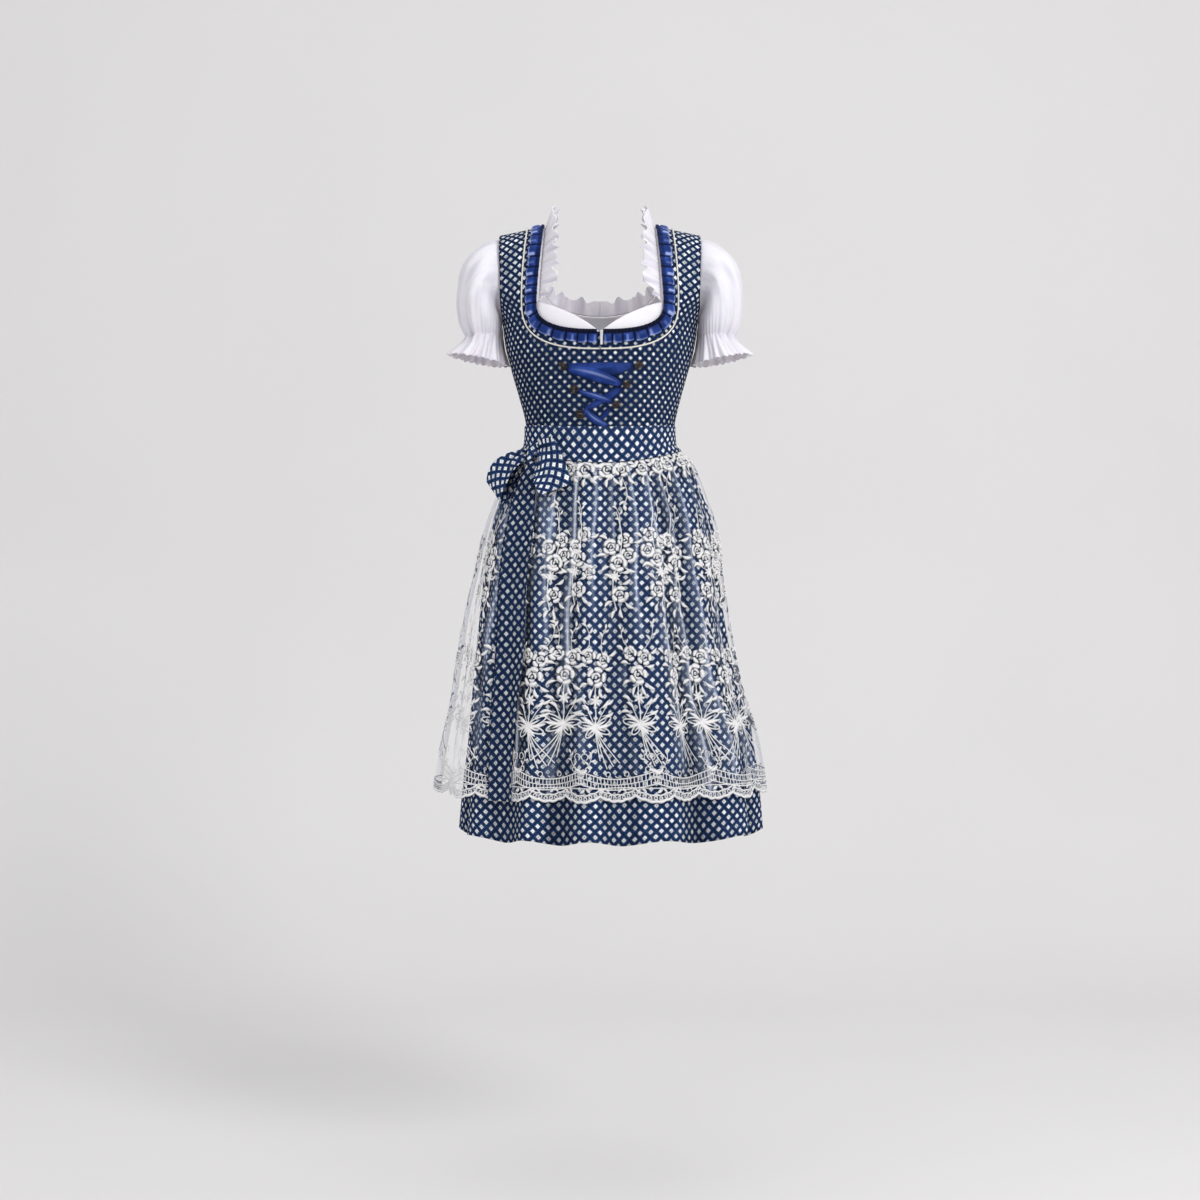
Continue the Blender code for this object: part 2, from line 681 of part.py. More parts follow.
def add_zip_pull():
    place, _, up, normal = front_frame(ZIP_ACROSS, ZIP_TOP - SLIDER_SIZE[2] / 2, BODICE_OUT + CLOTH + 0.0006)
    right = up.cross(normal) * -1.0
    half = BRIDGE_WIDTH / 2
    wide, deep, tall = SLIDER_SIZE
    window_low, window_high = -0.0013, 0.0013
    wall = 0.0010

    def at(x, out, z):
        return place + right * x + normal * out + up * z

    # The slider is a plate with a bridge whose window holds the eye of the tab.
    outline = (
        # out, height
        (deep, window_low - wall),
        (deep + BRIDGE_REACH, window_low - wall),
        (deep + BRIDGE_REACH, window_high + wall),
        (deep, window_high + wall),
    )
    window = (
        (deep + 0.0004, window_low),
        (deep + BRIDGE_REACH - wall, window_low),
        (deep + BRIDGE_REACH - wall, window_high),
        (deep + 0.0004, window_high),
    )
    points = []
    for x in (-half, half):
        points += [at(x, o, z) for o, z in outline]
        points += [at(x, o, z) for o, z in window]
    faces = []
    for k in range(1, 4):
        a, b = k - 1, k
        faces.append((a + 4, b + 4, b, a))
        faces.append((a + 8, b + 8, b + 12, a + 12))
        faces.append((a, b, b + 8, a + 8))
    faces.append((3 + 4, 0 + 4, 0, 3))
    faces.append((3 + 8, 0 + 8, 0 + 12, 3 + 12))
    for k in range(4):
        m = (k + 1) % 4
        faces.append((k + 12, m + 12, m + 4, k + 4))
    base = len(points)
    for z in (-tall / 2, tall / 2):
        for x, o in ((-wide / 2, 0.0), (wide / 2, 0.0), (wide / 2, deep), (-wide / 2, deep)):
            points.append(at(x, o, z))
    lower, upper = base, base + 4
    faces.append((lower, lower + 3, lower + 2, lower + 1))
    faces.append((upper, upper + 1, upper + 2, upper + 3))
    faces.append((lower, lower + 1, upper + 1, upper))
    faces.append((lower + 1, lower + 2, upper + 2, upper + 1))
    faces.append((lower + 3, lower, upper, upper + 3))
    # The front of the plate is a ring round the foot of the bridge.
    foot = (0, 8, 11, 3)
    rim = (lower + 3, lower + 2, upper + 2, upper + 3)
    for k in range(4):
        m = (k + 1) % 4
        faces.append((rim[k], rim[m], foot[m], foot[k]))
    slider = add_body("zip_slider", points, faces, "zip_metal", smooth=False)
    square_up(slider)

    # The tab hangs plumb by the bar at the top of its eye.
    wide, thick, long = TAB_SIZE
    pivot = place + normal * (deep + PIVOT_OUT)
    plumb = Vector((0, 0, 1))
    facing = right.cross(plumb)
    top = EYE_BAR / 2
    inner = wide / 2 - EYE_SIDE
    points = []
    for out in (-thick / 2, thick / 2):
        corners = [(-wide / 2, top), (wide / 2, top), (wide / 2, top - long), (-wide / 2, top - long)]
        corners += [(-inner, -top), (inner, -top), (inner, -EYE_REACH), (-inner, -EYE_REACH)]
        for x, z in corners:
            points.append(pivot + right * x + facing * out + plumb * z)
    faces = []
    for k in range(4):
        m = (k + 1) % 4
        faces.append((k, m, m + 4, k + 4))
        faces.append((k + 8, k + 12, m + 12, m + 8))
        faces.append((k, k + 8, m + 8, m))
        faces.append((k + 4, m + 4, m + 12, k + 12))
    tab = add_body("zip_tab", points, faces, "zip_metal", smooth=False)
    square_up(tab)


def square_up(body):
    """Turns all faces of a closed body outwards."""
    work = bmesh.new()
    work.from_mesh(body.data)
    bmesh.ops.recalc_face_normals(work, faces=work.faces)
    bmesh.ops.triangulate(work, faces=work.faces)
    work.to_mesh(body.data)
    work.free()


# Skirt and apron

def fold_share(theta):
    return math.cos(FOLDS * theta + FOLD_DRIFT * math.sin(3 * theta + 0.6) + 0.5)


def skirt_place(theta, height, out=0.0, gathered=True):
    right = read_table(SKIRT, 1, height)
    left = read_table(SKIRT, 2, height)
    deep = read_table(SKIRT, 3 if math.cos(theta) >= 0 else 4, height)
    half = (right + left) / 2 + (right - left) / 2 * math.sin(theta)
    middle = Vector((half * math.sin(theta), -deep * math.cos(theta), height))
    facing = Vector((deep * math.sin(theta), -half * math.cos(theta), 0)).normalized()
    wave = read_table(SKIRT, 6, height) * fold_share(theta)
    if gathered:
        wave += read_table(SKIRT, 5, height) * math.cos(GATHERS * theta)
    return middle + facing * (wave + out)


def skirt_angles(first, last):
    step = math.pi / SKIRT_COLUMNS
    return [n * step for n in range(first, last + 1)]


def hem_drop(theta):
    return HEM_DIP * fold_share(theta)


def add_skirt(name, first, last):
    rows = []
    for row in reversed(SKIRT):
        line = []
        for theta in skirt_angles(first, last):
            gap = SEAM / 0.2
            if theta == first * math.pi / SKIRT_COLUMNS:
                theta += gap
            elif theta == last * math.pi / SKIRT_COLUMNS:
                theta -= gap
            height = row[0]
            if row is SKIRT[-1]:
                height += hem_drop(theta)
            line.append(skirt_place(theta, height))
        rows.append(line)
    add_sheet(name, rows, CLOTH, "printed_cotton")


def band_height(theta, column_front, column_side, column_back):
    side = math.sin(theta) ** 2
    end = column_front if math.cos(theta) >= 0 else column_back
    return mix(end, column_side, side)


def apron_out(theta, height):
    side = ease((abs(math.degrees(theta)) - 35.0) / 50.0)
    front = read_table(APRON_OUT, 1, height)
    edge = read_table(APRON_OUT, 2 if theta < 0 else 3, height)
    return mix(front, edge, side)


def scallop_drop(n):
    return SCALLOP_DEPTH if n % 3 else 0.0


def add_apron():
    reach = round(math.radians(APRON_REACH) / (math.pi / SKIRT_COLUMNS) * 2)
    step = math.pi / SKIRT_COLUMNS
    angles = [math.radians(-APRON_REACH) + n * step for n in range(reach + 1)]
    heights = [row[0] for row in SKIRT if -0.86 < row[0] < -0.38]
    rows = [[skirt_place(t, APRON_HEM + SCALLOP_DEPTH - scallop_drop(n), apron_out(t, APRON_HEM))
             for n, t in enumerate(angles)]]
    for height in reversed(heights):
        rows.append([skirt_place(t, height, apron_out(t, height)) for t in angles])
    below = []
    top = []
    for theta in angles:
        height = band_height(theta, *BAND[0][1:4]) - 4 * SEAM
        middle = mix(height, heights[0], 0.5)
        below.append(skirt_place(theta, middle, apron_out(theta, middle) + 0.0006))
        top.append(skirt_place(theta, height, BAND[0][4], gathered=False))
    rows += [below, top]
    add_sheet("apron_skirt", rows, THIN_CLOTH, "lace_tulle")


def band_place(theta, row):
    _, front, side, back, out = row
    height = band_height(theta, front, side, back)
    share = ease((height + 0.3340) / -0.008)
    body = torso_point(theta, height, out)
    skirt = skirt_place(theta, height, out, gathered=False)
    return body.lerp(skirt, share)


def add_band(name, first, last, columns):
    angles = [math.radians(mix(first, last, n / columns)) for n in range(columns + 1)]
    rows = [[band_place(theta, row) for theta in angles] for row in BAND]
    add_sheet(name, rows, CLOTH, "printed_cotton")


# Bow

def knot_centre():
    theta = math.radians(KNOT_ANGLE)
    place = skirt_place(theta, KNOT_HEIGHT, 0.0, gathered=False)
    outwards = Vector((place.x, place.y * 1.2, 0)).normalized()
    return place + outwards * (BAND[0][4] + CLOTH + KNOT_RADII[1] + KNOT_GAP), outwards


def add_knot():
    centre, outwards = knot_centre()
    right = Vector((-outwards.y, outwards.x, 0))
    around, rings = 12, 6
    points = []
    for i in range(rings + 1):
        level = mix(-0.92, 0.92, i / rings)
        swell = math.sqrt(1 - level * level * 0.72)
        for k in range(around):
            turn = 2 * math.pi * k / around
            crease = 1.0 - 0.10 * (k % 2) * (1 - abs(level))
            spot = right * (KNOT_RADII[0] * math.cos(turn)) + outwards * (KNOT_RADII[1] * math.sin(turn))
            lean = outwards * (-KNOT_LEAN * level)
            points.append(centre + spot * (swell * crease) + lean + Vector((0, 0, KNOT_RADII[2] * level)))
    faces = []
    for a, b, c, d in grid_faces(rings + 1, around, closed=True):
        faces.append((a, b, c, d))
    faces.append(tuple(reversed(range(around))))
    faces.append(tuple(range(rings * around, (rings + 1) * around)))
    knot = add_body("bow_knot", points, faces, "printed_cotton")
    square_up(knot)


def loop_edges(name, share):
    """The high and the low edge of a loop at a share of its length, and how far its faces stand apart."""
    values = [read_table(LOOPS[name], column, share) for column in range(1, 8)]
    high = Vector((values[0], -values[1], values[2]))
    return high, Vector((values[3], -values[4], values[5])), values[6]


def add_loops():
    _, outwards = knot_centre()
    steps = 12
    columns = 5
    for name in LOOPS:
        root_high, root_low, _ = loop_edges(name, 0.0)
        mouth_high, mouth_low, _ = loop_edges(name, 1.0)
        along = (mouth_high + mouth_low - root_high - root_low).normalized()
        facing = (mouth_high - mouth_low).cross(along).normalized()
        if facing.dot(outwards) < 0:
            facing = -facing
        rows = []
        for n in range(steps + 1):
            turn = mix(0.08, 1.92, n / steps) * math.pi
            share = (1 - math.cos(turn)) / 2
            high, low, stand = loop_edges(name, share)
            lift = stand * min(1.0, abs(math.sin(turn)) * 1.4) * (1 if turn < math.pi else -0.8)
            line = []
            for k in range(columns + 1):
                across = k / columns
                ridge = 0.0018 * (1 - share) * math.cos(across * 4 * math.pi)
                line.append(low.lerp(high, across) + facing * (lift + ridge))
            rows.append(line)
        probe = (rows[0][1] - rows[0][0]).cross(rows[1][0] - rows[0][0])
        if probe.dot(facing) > 0:
            rows = [list(reversed(row)) for row in rows]
        add_sheet(name, rows, CLOTH, "printed_cotton")


def tail_point(across, height, out):
    half = (read_table(SKIRT, 1, height) + read_table(SKIRT, 2, height)) / 2
    theta = math.asin(max(-0.98, across / half))
    for _ in range(4):
        place = skirt_place(theta, height, apron_out(theta, height) + out)
        theta += (across - place.x) / half
    return skirt_place(theta, height, apron_out(theta, height) + out)


def add_tails():
    columns = 4
    for name, out, shift, end in TAIL_LAYERS:
        heights = [row[0] for row in TAIL if row[0] > end] + [end]
        rows = []
        for height in reversed(heights):
            middle = read_table(TAIL, 1, height) + shift
            half = read_table(TAIL, 2, height)
            line = []
            lift = read_table(TAIL, 3, height) * (1.0 if name == "tie_tail" else 0.6)
            for k in range(columns + 1):
                share = k / columns * 2 - 1
                bulge = 0.0030 * (1 - share * share) if name == "tie_tail" else 0.0
                line.append(tail_point(middle + half * share, height, THIN_CLOTH + out + bulge + lift))
            rows.append(line)
        add_sheet(name, rows, CLOTH, "printed_cotton")


# Blouse sleeves and neck frill

def add_sleeves(front_rim, back_rim):
    """The sleeve grows from the armhole rims of the two blouse panels, shared point by point."""
    rim = front_rim + list(reversed(back_rim))[1:-1]
    ring = []
    for n, place in enumerate(rim):
        after = rim[(n + 1) % len(rim)]
        ring.append(place)
        ring.append((place + after) / 2)
    heart = Vector((0.1560, 0.0, -0.0650))
    rows = [[p + (heart - p).normalized() * ARMHOLE_INSET for p in ring]]
    count = len(ring)

    cuff = []
    for n in range(count):
        turn = 2 * math.pi * n / count
        cuff.append((-math.cos(turn), -math.sin(turn)))

    for step in SLEEVE_STEPS[1:]:
        line = []
        for n, start in enumerate(rows[0]):
            cx, cy = cuff[n]
            end = CUFF_CENTRE + Vector((cx * CUFF_RADII[0], cy * CUFF_RADII[1], 0))
            outer = (1 + cx) / 2
            radial = (start - heart).normalized()
            lean = 1 - max(0.0, -radial.z)
            first = start + Vector((0.007 + 0.051 * outer, radial.y * 0.030 * lean, 0.004 * abs(radial.z)))
            second = end + Vector((cx * 0.036 * outer, cy * 0.036, 0.008 + 0.037 * max(outer, abs(cy))))
            a, b, c, d = (1 - step) ** 3, 3 * step * (1 - step) ** 2, 3 * step * step * (1 - step), step ** 3
            place = start * a + first * b + second * c + end * d
            ridge = 0.0013 if n % 2 else -0.0013
            fade = abs(step - 0.45) / 0.55 if step < 1 else 0.8
            place += Vector((cx, cy, 0)) * (ridge * fade * (0.3 + 0.7 * outer))
            line.append(place)
        rows.append(line)
    for centre_x, centre_y, height, tilt, radius_x, radius_y, wave in FRILL_RINGS:
        line = []
        for n, (cx, cy) in enumerate(cuff):
            swing = wave if n % 2 else -wave
            line.append(Vector((
                centre_x + cx * (radius_x + swing),
                centre_y + cy * (radius_y + swing),
                height + tilt * cx,
            )))
        rows.append(line)

    flipped = [[Vector((-p.x, p.y, p.z)) for p in row] for row in rows]
    add_sheet("blouse_sleeve_right", [list(reversed(row)) for row in rows], THIN_CLOTH, "white_cotton",
              closed=True)
    add_sheet("blouse_sleeve_left", flipped, THIN_CLOTH, "white_cotton", closed=True)


def add_neck_frill():
    front = wing("blouse_front", 1, 30, 0.0, straight_only=True)
    back = wing("blouse_back", -1, 26, 0.0006, corners=NECK_COLUMNS)
    path = front + list(reversed(back))
    tilts = [mix(FRILL_TILT_LOW, FRILL_TILT_TOP, ease(n / len(front))) for n in range(len(front))]
    tilts += [mix(FRILL_TILT_TOP, FRILL_TILT_BACK, ease(n / len(back))) for n in range(len(back))]
    lines = [[], [], []]
    last = len(path) - 1
    for n, (theta, level, normal, away) in enumerate(path):
        tilt = math.radians(tilts[n])
        base = beside(theta, level, away, -0.0016, BLOUSE_OUT)
        outwards = away * -math.cos(tilt) + normal * math.sin(tilt)
        over = away * math.sin(tilt) + normal * math.cos(tilt)
        end = ease(min(n, 6) / 6) * 0.8 + 0.2
        if n == last:
            end = 1.0
        for row, share in enumerate((0.0, 0.5, 1.0)):
            wave = math.cos(2 * math.pi * n / 4.0) * FRILL_WAVE * share * min(1.0, (last - n) / 3)
            place = base + outwards * (FRILL_WIDTH * share * end) + over * (wave + 0.003 * share)
            if n >= last - 1:
                place.x = max(place.x, 0.0008)
            lines[row].append(place)
    add_sheet("blouse_neck_frill_right", lines, THIN_CLOTH, "white_cotton")
    flipped = [list(reversed(mirrored(line))) for line in lines]
    add_sheet("blouse_neck_frill_left", flipped, THIN_CLOTH, "white_cotton")


def main():
    clear_scene()
    collection = bpy.data.collections.new("dirndl")
    bpy.context.scene.collection.children.link(collection)
    for name in MATERIALS:
        make_material(name)

    cut = (WAIST_LEVEL, BODICE_SHARES, BODICE_OUT, CLOTH, "printed_cotton")
    add_panel("bodice_front_left", "bodice_front", "bodice", 1, (-1,), *cut)
    add_panel("bodice_front_right", "bodice_front", "bodice", 1, (1,), *cut)
    add_panel("bodice_back", "bodice_back", "bodice", -1, (-1, 1), *cut)
    add_ruffles()
    add_pipings()
    add_hooks()
    add_lacing()
    add_zip_pull()

    cut = (BLOUSE_LOW_LEVEL, BLOUSE_SHARES, BLOUSE_OUT, THIN_CLOTH, "white_cotton")
    front = add_panel("blouse_front", "blouse_front", "blouse", 1, (-1, 1), *cut)
    back = add_panel("blouse_back", "blouse_back", "blouse", -1, (-1, 1), *cut)
    add_sleeves(front, back)
    add_neck_frill()

    half = SKIRT_COLUMNS // 2
    add_skirt("skirt_front", -half, half)
    add_skirt("skirt_back", half, half + SKIRT_COLUMNS)
    add_apron()
    add_band("apron_band", -BAND_FRONT_REACH, BAND_FRONT_REACH, 36)
    add_band("apron_tie", BAND_FRONT_REACH + 0.2, 360.0 - BAND_FRONT_REACH - 0.2, 24)
    add_knot()
    add_loops()
    add_tails()


main()
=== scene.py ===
"""Looks of the dirndl outfit: printed cotton bodice and skirt, satin trims, embroidered net apron, blouse.

Metres, in the frame of the solids: -Y is the front, +X the viewer's right, +Z up.
"""

import math

import bmesh
import bpy
import numpy as np
from mathutils import Matrix, Vector


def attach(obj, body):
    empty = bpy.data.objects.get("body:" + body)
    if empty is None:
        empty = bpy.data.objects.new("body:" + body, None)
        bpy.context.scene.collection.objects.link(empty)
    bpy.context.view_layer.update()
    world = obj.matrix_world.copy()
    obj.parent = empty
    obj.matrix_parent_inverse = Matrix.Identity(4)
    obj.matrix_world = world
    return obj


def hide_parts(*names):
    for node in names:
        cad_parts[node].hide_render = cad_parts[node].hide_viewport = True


bl_info = {
    "name": "Dirndl Outfit",
    "version": (1, 0, 0),
    "blender": (4, 5, 0),
    "location": "View3D > Sidebar > Dirndl",
    "description": "Builds the cloth, trims, lace and bow of a dirndl outfit over its solids",
    "category": "Object",
}

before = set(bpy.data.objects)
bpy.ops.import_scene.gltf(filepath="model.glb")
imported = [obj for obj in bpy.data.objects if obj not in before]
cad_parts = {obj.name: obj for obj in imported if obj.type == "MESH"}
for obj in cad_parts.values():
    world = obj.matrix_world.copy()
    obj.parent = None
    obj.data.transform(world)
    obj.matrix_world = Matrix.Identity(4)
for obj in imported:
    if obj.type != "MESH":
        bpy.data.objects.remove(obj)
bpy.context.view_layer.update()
GARMENT = "garment"

# The figure that the cloth follows

TORSO = (
    # level, height, half width, front, back, drop
    (-0.360, -0.360, 0.1210, 0.1000, 0.0980, 0.00),
    (-0.335, -0.335, 0.1150, 0.0975, 0.0920, 0.00),
    (-0.313, -0.313, 0.1125, 0.0965, 0.0890, 0.00),
    (-0.294, -0.294, 0.1145, 0.0980, 0.0900, 0.00),
    (-0.256, -0.256, 0.1245, 0.1050, 0.0980, 0.00),
    (-0.218, -0.218, 0.1350, 0.1150, 0.1070, 0.00),
    (-0.180, -0.180, 0.1450, 0.1240, 0.1140, 0.00),
    (-0.142, -0.142, 0.1500, 0.1230, 0.1180, 0.00),
    (-0.110, -0.110, 0.1580, 0.1120, 0.1170, 0.00),
    (-0.080, -0.080, 0.1660, 0.0970, 0.1100, 0.05),
    (-0.050, -0.050, 0.1720, 0.0790, 0.0960, 0.10),
    (-0.020, -0.025, 0.1760, 0.0590, 0.0720, 0.16),
    (0.005, -0.008, 0.1780, 0.0320, 0.0380, 0.20),
    (0.030, 0.000, 0.1790, 0.0000, 0.0000, 0.20),
    (0.055, -0.008, 0.1780, -0.0320, -0.0380, 0.20),
)
DROP_FROM = 0.124  # half width from which the shoulders fall
SHOULDER = 0.030  # level of the shoulder seam
YOKE = -0.120  # level at which the straps begin
WAIST = -0.335
BLOUSE_END = -0.236
SEAM = 0.00015  # half of the gap between two panels
SIDE_TURN = math.pi / 2 - SEAM / 0.11  # angle of the side seam, short of it by the gap

# How far the bodice and its trims stand off the figure, and the thickness of each cloth

BODICE_OUT = 0.0026
TRIM_OUT = 0.0045
BODICE_WALL = 0.0012
BAND_WALL = 0.0012
SKIRT_WALL = 0.0010
BLOUSE_WALL = 0.0010
SLEEVE_WALL = 0.0008
SATIN_WALL = 0.0007
RIBBON_WALL = 0.0005
NET_WALL = 0.0003

# Openings of the bodice and the blouse

NECKS = {
    # piece: half width, half width at the shoulder, lowest level, top of its curve, power
    "bodice_front": (0.0980, 0.0900, -0.169, -0.120, 2.6),
    "bodice_back": (0.0980, 0.0900, -0.125, -0.075, 2.2),
    "blouse_front": (0.0945, 0.0865, -0.171, -0.120, 0.82),
    "blouse_back": (0.0945, 0.0865, -0.117, -0.070, 2.2),
}
ARMS = {
    # piece: half width, half width at the shoulder, level under the arm
    "bodice": (0.1530, 0.1575, -0.142),
    "blouse": (0.1545, 0.1590, -0.134),
}

# Skirt and apron, with what each stands off what it covers

SKIRT = (
    # height, right, left, front, back, gather, fold
    (-0.3353, 0.1150, 0.1150, 0.0975, 0.0920, 0.0003, 0.0000),
    (-0.3460, 0.1260, 0.1240, 0.1000, 0.0990, 0.0012, 0.0000),
    (-0.3620, 0.1380, 0.1340, 0.1060, 0.1100, 0.0015, 0.0008),
    (-0.3850, 0.1475, 0.1440, 0.1150, 0.1250, 0.0015, 0.0020),
    (-0.4200, 0.1590, 0.1550, 0.1260, 0.1420, 0.0012, 0.0035),
    (-0.4700, 0.1740, 0.1680, 0.1410, 0.1590, 0.0006, 0.0050),
    (-0.5400, 0.1800, 0.1780, 0.1550, 0.1720, 0.0000, 0.0062),
    (-0.6200, 0.1900, 0.1860, 0.1690, 0.1830, 0.0000, 0.0075),
    (-0.7100, 0.2060, 0.1940, 0.1820, 0.1940, 0.0000, 0.0090),
    (-0.7950, 0.2290, 0.2000, 0.1930, 0.2040, 0.0000, 0.0105),
    (-0.8800, 0.2400, 0.2090, 0.2020, 0.2130, 0.0000, 0.0115),
    (-0.9420, 0.2450, 0.2140, 0.2070, 0.2190, 0.0000, 0.0120),
)
GATHERS = 40  # small folds at the waist, all round
FOLDS = 12  # broad folds that widen to the hem
APRON_OUT = (
    # height, front, left side, right side
    (-0.3400, 0.0042, 0.0042, 0.0042),
    (-0.3850, 0.0044, 0.0050, 0.0044),
    (-0.4200, 0.0046, 0.0080, 0.0046),
    (-0.5200, 0.0050, 0.0150, 0.0050),
    (-0.6100, 0.0054, 0.0250, 0.0056),
    (-0.7200, 0.0058, 0.0310, 0.0066),
    (-0.8000, 0.0062, 0.0400, 0.0080),
    (-0.8800, 0.0066, 0.0430, 0.0110),
)
APRON_REACH = math.radians(101.25)
APRON_HEM = -0.8720
NET_TOP = -0.345  # from which the gathered folds spread
SCALLOP = math.radians(13.5)
SCALLOP_DEPTH = 0.008
BAND = (
    # share, front, side, back, out
    (0.00, -0.3670, -0.3430, -0.3480, 0.0042),
    (0.35, -0.3470, -0.3290, -0.3330, 0.0052),
    (0.70, -0.3280, -0.3150, -0.3180, 0.0055),
    (1.00, -0.3120, -0.3040, -0.3060, 0.0050),
)
BAND_REACH = 108.0  # degrees to each side of the front
APRON_RIDGES = (
    # degrees at the band, degrees at the hem, half width, lift, lowest height, strength
    (-86, -92, 2.2, 0.0040, -0.86, 0.32),
    (-71, -76, 2.6, 0.0035, -0.80, 0.32),
    (-55, -57, 2.0, 0.0030, -0.62, 0.50),
    (-40, -37, 2.4, 0.0045, -0.86, 0.75),
    (-27, -25, 1.6, 0.0025, -0.58, 0.55),
    (-13, -18, 1.8, 0.0040, -0.66, 0.85),
    (-3, -6, 1.5, 0.0028, -0.52, 0.60),
    (7, 4, 1.3, 0.0025, -0.48, 0.50),
    (17, 16, 1.7, 0.0035, -0.56, 0.65),
    (26, 33, 2.0, 0.0040, -0.76, 0.80),
    (36, 44, 2.2, 0.0040, -0.84, 0.80),
    (47, 55, 2.4, 0.0035, -0.80, 0.60),
    (60, 66, 2.8, 0.0040, -0.86, 0.60),
    (74, 80, 2.6, 0.0035, -0.84, 0.42),
    (89, 93, 2.6, 0.0035, -0.86, 0.42),
)

# Lacing, hooks, bow, sleeves, piping and stitches

LACING = (
    # name, from across and height, to across and height, width at start, middle and end, out, sag
    ("lace_bar", -0.0475, -0.2190, 0.0500, -0.2180, 0.009, 0.021, 0.009, 0.0043, -0.0060),
    ("lace_over_top", -0.0480, -0.2230, 0.0325, -0.2470, 0.008, 0.019, 0.007, 0.0063, 0.0020),
    ("lace_under_middle", 0.0325, -0.2520, -0.0225, -0.2860, 0.007, 0.012, 0.007, 0.0053, 0.0000),
    ("lace_over_middle", -0.0320, -0.2570, 0.0180, -0.2740, 0.006, 0.010, 0.006, 0.0063, 0.0010),
    ("lace_under_end", 0.0140, -0.2840, 0.0000, -0.3000, 0.006, 0.009, 0.006, 0.0055, 0.0000),
    ("lace_loop", -0.0235, -0.2840, 0.0110, -0.3110, 0.006, 0.013, 0.005, 0.0062, -0.0040),
)
HOOKS = (
    # name, across, height
    ("hook_left_top", -0.0550, -0.2185),
    ("hook_left_middle", -0.0390, -0.2536),
    ("hook_left_bottom", -0.0300, -0.2926),
    ("hook_right_top", 0.0575, -0.2175),
    ("hook_right_middle", 0.0400, -0.2460),
    ("hook_right_bottom", 0.0250, -0.2775),
)
KNOT = {
    "angle": -47.5,
    "height": -0.3500,
    "radii": (0.0088, 0.0080, 0.0165),
    "lean": 0.0070,
    "gap": 0.0005,
}
LOOPS = {
    # share of length, upper edge across, forward and height, lower edge the same, lift
    "bow_loop_right": (
        (0.00, -0.0983, 0.0834, -0.3400, -0.0983, 0.0884, -0.3640, 0.0022),
        (0.35, -0.0746, 0.0970, -0.3313, -0.0990, 0.1090, -0.3891, 0.0070),
        (0.65, -0.0548, 0.1190, -0.3617, -0.0978, 0.1200, -0.4044, 0.0080),
        (1.00, -0.0426, 0.1330, -0.4013, -0.0921, 0.1290, -0.4188, 0.0055),
    ),
    "bow_loop_left": (
        (0.00, -0.1119, 0.0694, -0.3440, -0.1125, 0.0759, -0.3640, 0.0022),
        (0.35, -0.1395, 0.0640, -0.3533, -0.1280, 0.0870, -0.3800, 0.0060),
        (0.65, -0.1607, 0.0560, -0.3690, -0.1400, 0.0880, -0.4030, 0.0085),
        (1.00, -0.1763, 0.0520, -0.3948, -0.1530, 0.0850, -0.4280, 0.0070),
    ),
}
TAIL = (
    # height, middle across, half width, lift
    (-0.3659, -0.1053, 0.0060, 0.0060),
    (-0.3955, -0.1130, 0.0118, 0.0020),
    (-0.4244, -0.1165, 0.0170, 0.0005),
    (-0.4518, -0.1195, 0.0190, 0.0000),
    (-0.4943, -0.1254, 0.0215, 0.0000),
    (-0.5628, -0.1325, 0.0208, 0.0000),
    (-0.6535, -0.1360, 0.0208, 0.0000),
    (-0.7530, -0.1457, 0.0189, 0.0000),
    (-0.8287, -0.1510, 0.0177, 0.0000),
    (-0.8820, -0.1512, 0.0177, 0.0000),
)
OVER_TAIL = {"out": 0.0050, "shift": 0.0, "end": -0.882, "bulge": 0.0030, "lift_share": 1.0}
UNDER_TAIL = {"out": 0.0022, "shift": -0.003, "end": -0.845, "bulge": 0.0, "lift_share": 0.6}
CUFF_CENTRE = (0.1818, 0.0030, -0.1620)
CUFF_RADII = (0.0278, 0.0430)
SLEEVE_HEART = (0.1560, 0.0, -0.0650)
FRILL_RINGS = (
    # middle across and back, height, tilt, radius across and back
    (0.1850, 0.0020, -0.1790, 0.0050, 0.0330, 0.0480),
    (0.1925, 0.0000, -0.2000, 0.0090, 0.0452, 0.0590),
)
PIPING_RADIUS = 0.0012
PIPING_SIDES = 10
PIPING_FROM_EDGE = 0.0245
PIPING_STEP = 0.0026
PLEAT_COLUMNS = 20  # columns of points in one pleat of the ruffle
STITCH_RADIUS = 0.00028
STITCHED_HEM = -0.924

# Radians of thread to a metre of cloth

SATIN_WEFT = 5200.0
NET_HOLES = 2600.0
THREAD_TWIST = 9000.0
PIPING_TWIST = 2400.0

# Tints that no setting changes

COTTON_SHADOW = (0.0015, 0.0030, 0.0090)
SATIN_SHADOW = (0.0012, 0.0022, 0.0120)
SATIN_GLEAM = (0.300, 0.370, 0.660)
BLOUSE_SHADOW = (0.46, 0.44, 0.54)
NET_THIN = (0.44, 0.54, 0.78)
NET_DOUBLE = (0.82, 0.85, 0.93)
NET_EDGE_SHADE = (0.32, 0.33, 0.36)
PIPING_TONES = ((0.80, 0.77, 0.72), (0.50, 0.47, 0.43))
IRON_TONES = ((0.030, 0.026, 0.028), (0.42, 0.33, 0.24))
STEEL_TONES = ((0.86, 0.85, 0.83), (0.70, 0.69, 0.67))
TOPSTITCH_TONES = ((0.035, 0.070, 0.190), (0.070, 0.120, 0.270))
PAPER_TONES = ((0.765, 0.755, 0.761), (0.800, 0.790, 0.796))


# Settings that a user would change

